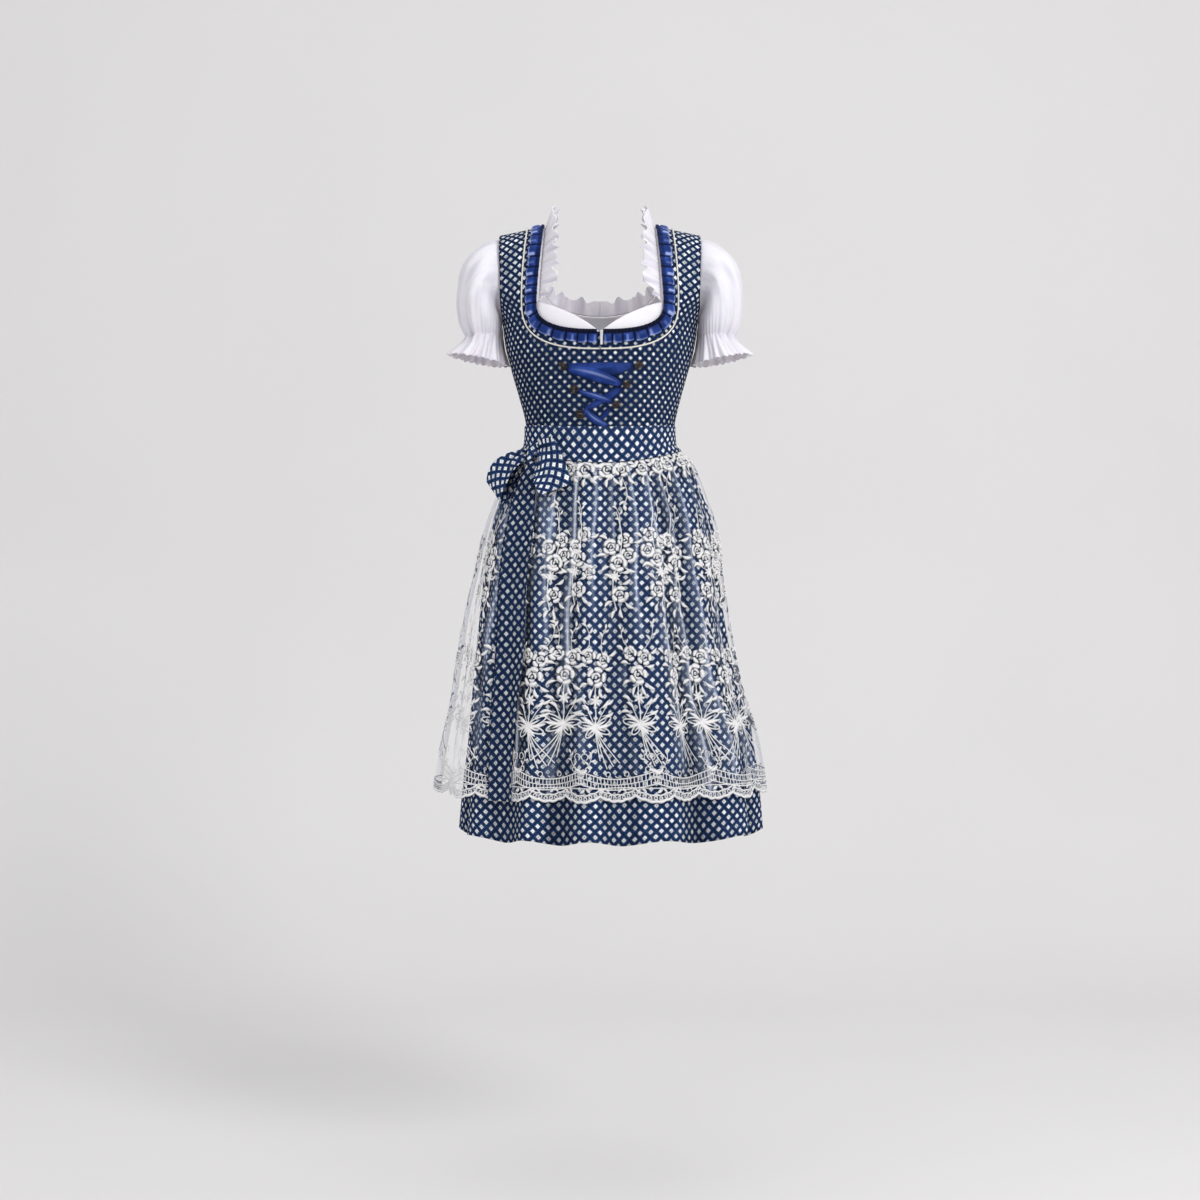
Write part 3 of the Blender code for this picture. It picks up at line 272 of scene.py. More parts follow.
class DirndlSettings(bpy.types.PropertyGroup):
    ground: bpy.props.FloatVectorProperty(
        name="Cotton ground", description="Dark blue ground of the printed cotton", subtype="COLOR",
        default=(0.0030, 0.0068, 0.0260), min=0, max=1)
    lattice: bpy.props.FloatVectorProperty(
        name="Print lines", description="Lighter blue of the printed lattice", subtype="COLOR",
        default=(0.042, 0.092, 0.245), min=0, max=1)
    motif: bpy.props.FloatVectorProperty(
        name="Print motif", description="White of the printed diamonds", subtype="COLOR",
        default=(0.880, 0.920, 0.960), min=0, max=1)
    satin: bpy.props.FloatVectorProperty(
        name="Satin", description="Blue of the ruffle and the lacing ribbon", subtype="COLOR",
        default=(0.0080, 0.0285, 0.1550), min=0, max=1)
    blouse: bpy.props.FloatVectorProperty(
        name="Blouse", description="White of the blouse cotton", subtype="COLOR",
        default=(0.790, 0.772, 0.820), min=0, max=1)
    thread: bpy.props.FloatVectorProperty(
        name="Embroidery thread", description="White of the embroidery on the net", subtype="COLOR",
        default=(0.800, 0.792, 0.802), min=0, max=1)
    bodice_repeat: bpy.props.FloatProperty(
        name="Bodice print repeat", description="Width of one repeat of the print on the bodice",
        subtype="DISTANCE", unit="LENGTH", default=0.0144, min=0.005, max=0.05)
    skirt_repeat: bpy.props.FloatProperty(
        name="Skirt print repeat", description="Width of one repeat of the print on skirt, band and bow",
        subtype="DISTANCE", unit="LENGTH", default=0.0164, min=0.005, max=0.05)
    net_cover: bpy.props.FloatProperty(
        name="Net cover", description="Share of the light that one layer of the apron's net stops",
        subtype="FACTOR", default=0.006, min=0.0, max=1.0)
    crease: bpy.props.FloatProperty(
        name="Crease depth", description="Depth of the small creases in the cloth",
        subtype="DISTANCE", unit="LENGTH", default=0.0011, min=0.0, max=0.004)
    stitch: bpy.props.FloatProperty(
        name="Stitch length", description="Length of one topstitch",
        subtype="DISTANCE", unit="LENGTH", default=0.0024, min=0.001, max=0.006)
    stitch_gap: bpy.props.FloatProperty(
        name="Stitch pitch", description="Distance from one topstitch to the next",
        subtype="DISTANCE", unit="LENGTH", default=0.0034, min=0.0015, max=0.01)


def settings():
    return bpy.context.scene.dirndl


# Curves and surfaces

def read(rows, column, key):
    """A smooth curve through one column of a table, as in the source of the solids."""
    table = np.array(sorted(rows), dtype=float)
    keys, values = table[:, 0], table[:, column]
    last = len(keys) - 1
    low = np.maximum(np.arange(last + 1) - 1, 0)
    high = np.minimum(np.arange(last + 1) + 1, last)
    slopes = (values[high] - values[low]) / (keys[high] - keys[low])
    key = np.clip(key, keys[0], keys[-1])
    i = np.searchsorted(keys[1:-1], key, side="left")
    step = keys[i + 1] - keys[i]
    t = (key - keys[i]) / step
    return (
        values[i] * (1 + 2 * t) * (1 - t) ** 2
        + values[i + 1] * t * t * (3 - 2 * t)
        + slopes[i] * step * t * (1 - t) ** 2
        - slopes[i + 1] * step * t * t * (1 - t)
    )


def ease(share):
    share = np.clip(share, 0.0, 1.0)
    return share * share * (3.0 - 2.0 * share)


def mix(a, b, share):
    return a + (b - a) * share


def unit(vectors):
    return vectors / np.maximum(np.linalg.norm(vectors, axis=-1, keepdims=True), 1e-12)


def ripple(a, b, seed, waves=5):
    """Soft uneven waves over two coordinates, between about -1 and 1."""
    rng = np.random.default_rng(seed)
    total = 0.0
    for _ in range(waves):
        fa, fb = rng.uniform(0.4, 1.0, 2)
        total = total + np.sin(a * fa + b * fb * rng.choice((-1, 1)) + rng.uniform(0, 6.28))
    return total / waves ** 0.5 * 0.7


def depth_at(rows, theta, key):
    """Depth of the figure or the skirt, in front of the middle or behind it."""
    return np.where(np.cos(theta) >= 0, read(rows, 3, key), read(rows, 4, key))


def body_place(theta, level):
    half = read(TORSO, 2, level)
    deep = depth_at(TORSO, theta, level)
    x = half * np.sin(theta)
    z = read(TORSO, 1, level) - read(TORSO, 5, level) * (np.abs(x) - DROP_FROM)
    return np.stack([x, -deep * np.cos(theta), z], axis=-1)


def body_frame(theta, level):
    """Place, direction round the body, direction up the body and outward normal."""
    theta, level = np.broadcast_arrays(np.asarray(theta, float), np.asarray(level, float))
    step = 0.002
    high = np.minimum(level + step, SHOULDER)
    low = high - 2 * step
    round_body = (body_place(theta + step, level) - body_place(theta - step, level)) / (2 * step)
    up_body = (body_place(theta, high) - body_place(theta, low)) / (high - low)[..., None]
    return body_place(theta, level), round_body, up_body, unit(np.cross(round_body, up_body))


def body_point(theta, level, out):
    place, _, _, normal = body_frame(theta, level)
    return place + normal * np.broadcast_to(out, np.shape(theta) or np.shape(level))[..., None]


def theta_of(x, level, face=1):
    turn = np.arcsin(np.clip(x / read(TORSO, 2, level), -1, 1))
    return turn if face > 0 else math.pi - turn


def fold_share(theta):
    return np.cos(FOLDS * theta + 0.9 * np.sin(3 * theta + 0.6) + 0.5)


def skirt_point(theta, height, out, gathered=1.0):
    right, left = read(SKIRT, 1, height), read(SKIRT, 2, height)
    deep = depth_at(SKIRT, theta, height)
    half = (right + left) / 2 + (right - left) / 2 * np.sin(theta)
    facing = unit(np.stack([deep * np.sin(theta), -half * np.cos(theta), 0 * half], axis=-1))
    away = out + read(SKIRT, 6, height) * fold_share(theta)
    away = away + gathered * read(SKIRT, 5, height) * np.cos(GATHERS * theta)
    middle = np.stack([half * np.sin(theta), -deep * np.cos(theta), height + 0 * half], axis=-1)
    return middle + facing * away[..., None]


def band_height(theta, row_front, row_side, row_back):
    end = np.where(np.cos(theta) >= 0, row_front, row_back)
    return mix(end, row_side, np.sin(theta) ** 2)


def apron_out(theta, height):
    side = ease((np.abs(np.degrees(theta)) - 35.0) / 50.0)
    edge = np.where(theta < 0, read(APRON_OUT, 2, height), read(APRON_OUT, 3, height))
    return mix(read(APRON_OUT, 1, height), edge, side)


def ridge_share(theta, height):
    """How far the gathered folds of the net stand out, and how much they thicken it."""
    degrees = np.degrees(theta)
    down = (height - NET_TOP) / (APRON_HEM - NET_TOP)
    high = np.zeros_like(degrees)
    thick = np.zeros_like(degrees)
    for top, low, width, lift, lowest, strength in APRON_RIDGES:
        middle = mix(top, low, down) + 0.8 * np.sin(height * 34 + top)
        bump = np.exp(-(((degrees - middle) / (width * (0.75 + 0.5 * down))) ** 2))
        fade = ease((height - lowest) / 0.10 + 1) * ease((-0.340 - height) / 0.03)
        high = high + lift * bump * fade
        edge = np.exp(-(((degrees - middle - width * 0.55) / (width * 0.34)) ** 2))
        thick = thick + strength * fade * (0.20 * bump + 0.80 * edge)
    return high, np.clip(thick, 0, 1)


def apron_point(theta, height):
    return skirt_point(theta, height, apron_out(theta, height) + ridge_share(theta, height)[0], 0.0)


def apron_normal(theta, height):
    """Outward normal of the net, and metres of cloth for each radian round it."""
    step = 0.004
    across = apron_point(theta + step, height) - apron_point(theta - step, height)
    up = apron_point(theta, height + 0.001) - apron_point(theta, height - 0.001)
    return unit(np.cross(across, up)), np.linalg.norm(across, axis=-1) / (2 * step)


def scallop_edge(theta):
    """Height of the apron's scalloped edge."""
    swing = np.abs(np.sin(math.pi * theta / SCALLOP))
    small = np.abs(np.sin(4 * math.pi * theta / SCALLOP))
    return APRON_HEM - SCALLOP_DEPTH * swing - 0.0016 * small


# Necklines

def neck_across(piece, level):
    half, half_top, _, curve_top, _ = NECKS[piece]
    return mix(half, half_top, ease((level - curve_top) / (SHOULDER - curve_top)))


def neck_curve(piece, share):
    half, _, low, curve_top, power = NECKS[piece]
    turn = share * math.pi / 2
    across = half * np.sin(turn) ** (2 / power)
    return across, curve_top - (curve_top - low) * np.cos(turn) ** (2 / power)


def arm_across(piece, level):
    half, half_top, _ = ARMS[piece]
    return mix(half, half_top, ease((level - YOKE) / (SHOULDER - YOKE)))


def neck_frames(piece, face, count, start_gap=0.0, straight_only=False):
    """Even places along half a neckline: angle, level, normal and direction away from the opening."""
    curve_top = NECKS[piece][3]
    share = np.linspace(0, 1, 61)
    across, level = neck_curve(piece, share)
    straight = np.linspace(curve_top, SHOULDER, 61)
    if straight_only:
        across, level = neck_across(piece, straight), straight
    else:
        across = np.concatenate([across, neck_across(piece, straight)[1:]])
        level = np.concatenate([level, straight[1:]])
    theta = theta_of(across, level, face)
    places = body_place(theta, level)
    lengths = np.concatenate([[0], np.cumsum(np.linalg.norm(np.diff(places, axis=0), axis=1))])
    want = np.linspace(start_gap, lengths[-1] - SEAM, count)
    theta, level = np.interp(want, lengths, theta), np.interp(want, lengths, level)
    ahead = np.gradient(body_place(theta, level), axis=0)
    normal = body_frame(theta, level)[3]
    away = unit(np.cross(ahead, normal))
    outwards = np.where(level > YOKE, away[:, 0], -away[:, 2])
    away = np.where((outwards > 0)[:, None], away, -away)
    return theta, level, normal, away


def beside(theta, level, away, distance, out):
    """Places on the figure moved away from the neckline by a distance, and out from the figure."""
    _, round_body, up_body, _ = body_frame(theta, level)
    move = away * np.broadcast_to(distance, theta.shape)[:, None]
    rr, uu = (round_body ** 2).sum(-1), (up_body ** 2).sum(-1)
    ru = (round_body * up_body).sum(-1)
    mr, mu = (move * round_body).sum(-1), (move * up_body).sum(-1)
    scale = rr * uu - ru * ru
    moved = np.minimum(level + (mu * rr - mr * ru) / scale, SHOULDER)
    return body_point(theta + (mr * uu - mu * ru) / scale, moved, out)


# Meshes

def grid_quads(rows, columns, closed=False):
    i, j = np.meshgrid(np.arange(rows - 1), np.arange(columns if closed else columns - 1), indexing="ij")
    k = (j + 1) % columns
    quads = np.stack([i * columns + j, i * columns + k, (i + 1) * columns + k, (i + 1) * columns + j], -1)
    return quads.reshape(-1, 4)


def grid_normals(grid, closed=False):
    if closed:
        across = np.roll(grid, -1, axis=1) - np.roll(grid, 1, axis=1)
    else:
        across = np.gradient(grid, axis=1)
    return unit(np.cross(across, np.gradient(grid, axis=0)))


def flat_uv(grid, middle=0):
    """Lengths over the cloth in metres: along each row from one column, and up that column."""
    steps = np.linalg.norm(np.diff(grid, axis=1), axis=2)
    across = np.concatenate([np.zeros((len(grid), 1)), np.cumsum(steps, axis=1)], axis=1)
    across -= across[:, middle:middle + 1]
    rises = np.linalg.norm(np.diff(grid, axis=0), axis=2).mean(axis=1)
    up = np.concatenate([[0], np.cumsum(rises)])
    return np.stack([across, np.broadcast_to(up[:, None], across.shape)], axis=-1)


def add_object(name, data):
    made = bpy.data.objects.new(name, data)
    bpy.context.scene.collection.objects.link(made)
    return made


def add_mesh(name, points, faces, material, uv=None, facts=None):
    """A smooth mesh; its faces are an array, or a list where some have more than four corners."""
    mesh = bpy.data.meshes.new(name)
    mesh.from_pydata(np.asarray(points).tolist(), [], faces if isinstance(faces, list) else faces.tolist())
    mesh.materials.append(bpy.data.materials[material])
    corners = np.empty(len(mesh.loops), dtype=np.int32)
    mesh.loops.foreach_get("vertex_index", corners)
    if uv is not None:
        layer = mesh.uv_layers.new(name="cloth")
        layer.data.foreach_set("uv", np.asarray(uv, dtype=np.float32)[corners].ravel())
    for label, values in (facts or {}).items():
        attribute = mesh.attributes.new(label, "FLOAT", "POINT")
        attribute.data.foreach_set("value", np.asarray(values, dtype=np.float32))
    mesh.shade_smooth()
    mesh.update()
    return add_object(name, mesh)


def add_wall(name, points, normals, quads, thickness, material, uv, facts):
    """A closed wall of cloth between the given points and the same points moved out."""
    count = len(points)
    inner = quads[:, ::-1]
    sides = np.concatenate([quads[:, [n, (n + 1) % 4]] for n in range(4)])
    keys = sides[:, 0].astype(np.int64) * count + sides[:, 1]
    back = sides[:, 1].astype(np.int64) * count + sides[:, 0]
    rim = sides[~np.isin(keys, back)]
    rims = np.stack([rim[:, 0], rim[:, 1], rim[:, 1] + count, rim[:, 0] + count], -1)
    faces = np.concatenate([quads + count, inner, rims])
    both = np.concatenate([points, points + normals * thickness])
    facts = {label: np.concatenate([v, v]) for label, v in facts.items()}
    return add_mesh(name, both, faces, material, np.concatenate([uv, uv]), facts)


def add_cloth(name, grid, thickness, material, facts, repeat=1.0, closed=False, middle=0):
    """A closed wall of cloth from a grid of points whose columns run to the right and whose rows run up."""
    rows, columns = grid.shape[:2]
    looped = np.concatenate([grid, grid[:, :1]], axis=1) if closed else grid
    uv = flat_uv(looped, middle)[:, :columns]
    normals = grid_normals(grid, closed).reshape(-1, 3)
    facts = {label: np.ravel(v) for label, v in facts.items()}
    return add_wall(name, grid.reshape(-1, 3), normals, grid_quads(rows, columns, closed), thickness,
                    material, uv.reshape(-1, 2) / repeat, facts)


def finish(piece, nodes=()):
    """Parents the piece to the body that it rides on, and hides the solids that it stands for."""
    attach(piece, GARMENT)
    if nodes:
        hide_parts(*nodes)
    return piece


def mirrored(grid):
    return grid * np.array([-1, 1, 1])


def tube(path, radius, sides):
    """Points and faces of a closed tube along a path, with its ends drawn in."""
    ahead = unit(np.gradient(path, axis=0))
    up = unit(np.cross(ahead, np.cross(np.array([0.0, 0.0, 1.0]) + 1e-4, ahead)))
    side = np.cross(ahead, up)
    turn = np.linspace(0, 2 * math.pi, sides, endpoint=False)
    radii = np.full(len(path), radius)
    radii[[0, -1]] *= 0.4
    ring = np.cos(turn)[None, :, None] * up[:, None] + np.sin(turn)[None, :, None] * side[:, None]
    points = (path[:, None] + ring * radii[:, None, None]).reshape(-1, 3)
    faces = grid_quads(len(path), sides, True)[:, ::-1].tolist()
    faces.append(list(range(sides)))
    faces.append(list(range(len(points) - 1, len(points) - sides - 1, -1)))
    return points, faces


# Shaders

class Socket:
    """A shader value that takes the usual operators."""

    def __init__(self, tree, value):
        self.tree = tree
        self.value = value

    def math(self, operation, *others):
        node = self.tree.nodes.new("ShaderNodeMath")
        node.operation = operation
        for slot, value in zip(node.inputs, (self, *others)):
            connect(self.tree, slot, value)
        return Socket(self.tree, node.outputs[0])

    def __add__(self, other):
        return self.math("ADD", other)

    def __sub__(self, other):
        return self.math("SUBTRACT", other)

    def __rsub__(self, other):
        return self.math("MULTIPLY", -1.0) + other

    def __mul__(self, other):
        return self.math("MULTIPLY", other)

    def __abs__(self):
        return self.math("ABSOLUTE")

    __radd__ = __add__
    __rmul__ = __mul__

    def smooth(self, low, high):
        """0 below low, 1 above high."""
        node = self.tree.nodes.new("ShaderNodeMapRange")
        node.interpolation_type = "SMOOTHSTEP"
        for label, value in (("Value", self), ("From Min", low), ("From Max", high)):
            connect(self.tree, node.inputs[label], value)
        return Socket(self.tree, node.outputs[0])


def connect(tree, slot, value):
    if isinstance(value, Socket):
        tree.links.new(value.value, slot)
    elif hasattr(slot.default_value, "__len__") and len(slot.default_value) == 4 and len(value) == 3:
        slot.default_value = (*value, 1.0)
    else:
        slot.default_value = value


class Finish:
    """A material whose nodes are added by one method."""

    def __init__(self, name, **constants):
        self.material = bpy.data.materials.new(name)
        self.material.use_nodes = True
        self.tree = self.material.node_tree
        self.shader = self.tree.nodes["Principled BSDF"]
        for label, value in constants.items():
            connect(self.tree, self.shader.inputs[label.replace("_", " ")], value)

    def node(self, kind, output=0, sets=None, **values):
        made = self.tree.nodes.new(kind)
        for label, value in (sets or {}).items():
            setattr(made, label, value)
        for label, value in values.items():
            key = int(label[1:]) if label[0] == "i" and label[1:].isdigit() else label.replace("_", " ")
            connect(self.tree, made.inputs[key], value)
        return Socket(self.tree, made.outputs[output])

    def blend(self, share, first, second):
        return self.node("ShaderNodeMix", 2, {"data_type": "RGBA"}, i0=share, i6=first, i7=second)

    def noise(self, vector, scale, detail=3.0, roughness=0.5):
        return self.node("ShaderNodeTexNoise", 0, None, Vector=vector, Scale=scale, Detail=detail,
                         Roughness=roughness)

    def attribute(self, name):
        return self.node("ShaderNodeAttribute", 2, {"attribute_name": name})

    def object_place(self):
        return self.node("ShaderNodeTexCoord", 3)

    def cloth_place(self):
        return self.node("ShaderNodeUVMap", 0, {"uv_map": "cloth"})

    def parts(self, vector):
        node = self.tree.nodes.new("ShaderNodeSeparateXYZ")
        connect(self.tree, node.inputs[0], vector)
        return [Socket(self.tree, out) for out in node.outputs]

    def feed(self, **values):
        for label, value in values.items():
            connect(self.tree, self.shader.inputs[label.replace("_", " ")], value)

    def bump(self, height, strength, distance):
        self.feed(Normal=self.node("ShaderNodeBump", 0, None, Height=height, Strength=strength,
                                   Distance=distance))


def scaled(colour, *factors):
    return tuple(math.prod((c, *factors)) for c in colour)


def make_printed_cotton(name, shade, size, dim):
    """Dark blue cotton with a paler lattice and a white diamond with a dark heart in each square.

    shade is painted shade that darkens all its blues, size is the diamond's reach in its square and dim the
    tone of its worn parts.
    The cloth's own "fold" attribute is painted shade that darkens its valleys, and where it is negative it is
    painted light that makes the diamonds larger.
    """
    own = settings()
    cotton = Finish(name, Roughness=0.95, Specular_IOR_Level=0.015)
    place = cotton.object_place()
    wander = cotton.noise(place, 420.0, 2.0)
    u, v, _ = cotton.parts(cotton.cloth_place())
    jitter = (wander - 0.5) * 0.10 + (cotton.noise(place, 26.0, 1.0) - 0.5) * 0.30
    near = []
    for turn in (u + v, u - v):
        cell = turn + jitter
        near.append(abs(cell - cell.math("ROUND")))
    far = near[0].math("MAXIMUM", near[1])
    # Painted shade where "fold" is positive; painted light, as larger diamonds, where it is negative
    fold = cotton.attribute("fold")
    light = 1.0 - 0.72 * fold
    painted_light_growth = (0.0 - fold).smooth(0.0, 1.0) * 0.06
    diamond = 1.0 - far.smooth(painted_light_growth + size, painted_light_growth + (size + 0.05))
    heart = 1.0 - far.smooth(0.045, 0.080)
    line = far.smooth(0.315, 0.345) * (1.0 - far.smooth(0.425, 0.455))
    worn = cotton.noise(place, 75.0, 3.0)
    cloudy = cotton.noise(place, 9.0, 2.0)
    ground = cotton.blend(cloudy.smooth(0.35, 0.7) * 0.6, scaled(own.ground, shade),
                          scaled(own.ground, 1.8, shade))
    lined = cotton.blend(line * (0.25 + 0.90 * worn), ground, scaled(own.lattice, shade))
    spot = cotton.blend(worn.smooth(0.3, 0.65), own.motif, scaled(own.motif, dim))
    marked = cotton.blend(diamond * 0.96, lined, spot)
    hearted = cotton.blend(heart * (0.25 + 0.6 * worn.smooth(0.45, 0.6)), marked, ground)
    cotton.feed(Base_Color=cotton.blend(1.0 - light, hearted, COTTON_SHADOW))
    cotton.bump(cotton.noise(place, 1500.0, 2.0) + cloudy * 0.6, 0.25, 0.0004)


def make_satin():
    """Blue satin; its "fold" attribute darkens it with painted shade, and where it is negative it paints a
    highlight on it.
    """
    own = settings()
    satin = Finish("satin_ribbon", Roughness=0.30, Specular_IOR_Level=0.08)
    place = satin.object_place()
    _, v, _ = satin.parts(satin.cloth_place())
    thread = (v * SATIN_WEFT).math("SINE") * 0.5 + 0.5
    cloudy = satin.noise(place, 48.0, 2.0)
    fold = satin.attribute("fold")
    # Paler patches, spread by noise, are a painted sheen; the gleam below is a painted highlight
    pale = tuple(min(1.0, c * 3.4 + 0.030) for c in own.satin)
    painted_sheen = satin.blend(cloudy.smooth(0.42, 0.70) * 0.35, own.satin, pale)
    gleam = (0.0 - fold).smooth(0.0, 1.0) * (0.6 + 0.6 * cloudy)
    colour = satin.blend(gleam, painted_sheen, SATIN_GLEAM)
    satin.feed(Base_Color=satin.blend(fold, colour, SATIN_SHADOW), Roughness=0.24 + 0.16 * cloudy)
    satin.bump(thread * 0.4 + cloudy * 0.8, 0.30, 0.0006)


def make_blouse_cotton():
    own = settings()
    cotton = Finish("blouse_cotton", Roughness=0.85, Specular_IOR_Level=0.2, Subsurface_Weight=0.08,
                    Subsurface_Scale=0.004)
    place = cotton.object_place()
    cloudy = cotton.noise(place, 26.0, 4.0)
    weave = cotton.noise(place, 1900.0, 1.0)
    fold = cotton.attribute("fold")
    toned = cotton.blend(cloudy.smooth(0.35, 0.65) * 0.6, own.blouse, scaled(own.blouse, 0.90))
    cotton.feed(Base_Color=cotton.blend(fold * 0.75, toned, BLOUSE_SHADOW))
    cotton.bump(cloudy * 2.0 + weave * 0.35, 0.35, 0.0011)


def make_net():
    """Fine tulle: mostly clear, and whiter where its folds lie double; at its edges it covers a little more
    and is painted grey with shade.
    """
    own = settings()
    net = Finish("apron_tulle", Roughness=1.0, Specular_IOR_Level=0.0)
    place = net.object_place()
    fold = net.attribute("fold")
    edge = net.attribute("edge")
    u, v, _ = net.parts(net.cloth_place())
    mesh = (u * NET_HOLES).math("SINE") * (v * NET_HOLES).math("SINE")
    cloudy = net.noise(place, 16.0, 4.0, 0.6)
    streak = net.noise(net.node("ShaderNodeCombineXYZ", 0, None, X=u * 120.0, Y=v * 7.0), 1.0, 3.0)
    wide = net.noise(net.node("ShaderNodeCombineXYZ", 0, None, X=u * 26.0, Y=v * 4.0), 1.0, 2.0)
    cover = own.net_cover * (0.2 + 1.8 * cloudy + 0.5 * mesh) + fold * (0.03 + 0.80 * streak)
    net.feed(Alpha=cover + wide.smooth(0.54, 0.72) * (0.01 + 0.13 * streak) + edge * 0.14)
    tone = net.blend(fold.smooth(0.1, 0.8), NET_THIN, NET_DOUBLE)
    # The edges are painted grey with shade
    net.feed(Base_Color=net.blend(edge * 0.9, tone, NET_EDGE_SHADE))
    net.bump(mesh * 0.5 + cloudy, 0.3, 0.0005)


def make_thread():
    own = settings()
    thread = Finish("embroidery_thread", Roughness=0.62, Specular_IOR_Level=0.25, Sheen_Weight=0.1)
    place = thread.object_place()
    u, v, _ = thread.parts(place)
    cloudy = thread.noise(place, 130.0, 3.0)
    strand = ((v + u) * THREAD_TWIST).math("SINE") * 0.5 + 0.5
    dim = scaled(own.thread, 0.92)
    thread.feed(Base_Color=thread.blend(cloudy.smooth(0.35, 0.65), dim, own.thread))
    thread.bump(strand * 0.5 + cloudy, 0.4, 0.0004)


def make_piping():
    piping = Finish("piping_cord", Roughness=0.7, Specular_IOR_Level=0.3)
    u, v, _ = piping.parts(piping.cloth_place())
    twist = (u * PIPING_TWIST + v * 12.0).math("SINE") * 0.5 + 0.5
    worn = piping.noise(piping.object_place(), 300.0, 2.0)
    piping.feed(Base_Color=piping.blend(twist * (0.4 + 0.5 * worn), *PIPING_TONES))
    piping.bump(twist, 0.5, 0.0003)


def make_metals():
    dark = Finish("filigree_iron", Roughness=0.4, Metallic=0.95)
    worn = dark.noise(dark.object_place(), 700.0, 3.0)
    dark.feed(Base_Color=dark.blend(worn.smooth(0.5, 0.72), *IRON_TONES), Roughness=0.30 + 0.3 * worn)
    bright = Finish("zip_steel", Roughness=0.25, Metallic=0.9)
    rubbed = bright.noise(bright.object_place(), 900.0, 2.0)
    bright.feed(Base_Color=bright.blend(rubbed, *STEEL_TONES), Roughness=0.20 + 0.2 * rubbed)


def make_topstitch():
    seam = Finish("topstitch", Roughness=0.7, Specular_IOR_Level=0.3)
    tone = seam.noise(seam.object_place(), 500.0, 2.0)
    seam.feed(Base_Color=seam.blend(tone, *TOPSTITCH_TONES))


class DIRNDL_OT_materials(bpy.types.Operator):
    """Makes the finishes: printed cotton, satin, blouse cotton, net, threads, piping and metals"""

    bl_idname = "dirndl.materials"
    bl_label = "Finishes"

    def execute(self, context):
        # The bodice's copy of the print is painted with more shade than the skirt's
        make_printed_cotton("bodice_cotton", shade=0.64, size=0.180, dim=0.44)
        make_printed_cotton("skirt_cotton", shade=0.88, size=0.214, dim=0.68)
        make_satin()
        make_blouse_cotton()
        make_net()
        make_thread()
        make_piping()
        make_metals()
        make_topstitch()
        for node in ("zip_slider", "zip_tab"):
            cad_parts[node].material_slots[0].material = bpy.data.materials["zip_steel"]
        return {"FINISHED"}


# Bodice and blouse panels

def strap_end(neck_level):
    """Level at which a strap's outer edge turns into the armhole."""
    return min(neck_level, YOKE + 0.010)


def arm_spot(arm, edge_turn, edge_level, share):
    """Angle and level on the armhole's curve, from the strap's outer edge to the underarm."""
    turn = share * math.pi / 2
    level = edge_level - (edge_level - ARMS[arm][2]) * math.sin(turn)
    return mix(edge_turn, SIDE_TURN, 1 - math.cos(turn)), level


def panel_grid(neck, arm, face, sides, low_level):
    """Angles and levels of a panel whose straps reach to the shoulders, with its quads.

    Its columns run from the middle under the neckline, under the strap and under the arm to the side.
    """
    neck_columns, strap_columns, arm_columns, lower_rows, strap_rows = 20, 10, 6, 44, 22
    half_columns = neck_columns + strap_columns + arm_columns
    across, level = neck_curve(neck, np.linspace(0, 1, neck_columns + 1))
    tops = list(zip(theta_of(across, level), level))
    neck_level = tops[-1][1]
    strap_low = strap_end(neck_level)
    for share in np.linspace(0, 1, strap_columns + 1)[1:]:
        at = mix(neck_level, strap_low, share)
        x = mix(neck_across(neck, neck_level), arm_across(arm, strap_low), share)
        tops.append((theta_of(x, at), at))
    edge_turn = tops[-1][0]
    for share in np.linspace(0, 1, arm_columns + 1)[1:]:
        tops.append(arm_spot(arm, edge_turn, strap_low, share))
    ordered = [-j for j in range(half_columns, -1, -1)] if -1 in sides else []
    if 1 in sides:
        ordered += [j for j in range(half_columns + 1) if j > 0 or not ordered]
    if face < 0:
        ordered.reverse()
    places = {}
    for j in ordered:
        number = abs(j)
        side = -1 if j < 0 or sides == (-1,) else 1
        top_turn, top_level = tops[number]
        low_turn = SIDE_TURN * number / half_columns
        if number == 0:
            top_turn = low_turn = SEAM / 0.12 if len(sides) == 1 else 0.0
        for i in range(lower_rows + 1):
            share = i / lower_rows
            places[(i, j)] = (side * mix(low_turn, top_turn, share), mix(low_level, top_level, share))
        if neck_columns <= number <= neck_columns + strap_columns:
            share = (number - neck_columns) / strap_columns
            for n in range(strap_rows):
                at = mix(top_level, SHOULDER, (n + 1) / strap_rows)
                x = mix(neck_across(neck, at), arm_across(arm, at), share)
                places[(lower_rows + 1 + n, j)] = (side * theta_of(x, at), at)
    index = {key: n for n, key in enumerate(places)}
    quads = []
    for a, b in zip(ordered, ordered[1:]):
        for i in range(lower_rows + strap_rows):
            corners = ((i, a), (i, b), (i + 1, b), (i + 1, a))
            if all(corner in index for corner in corners):
                quads.append([index[corner] for corner in corners])
    spots = np.array(list(places.values()))
    theta = spots[:, 0] if face > 0 else math.pi - spots[:, 0]
    return theta, spots[:, 1], np.array(quads)


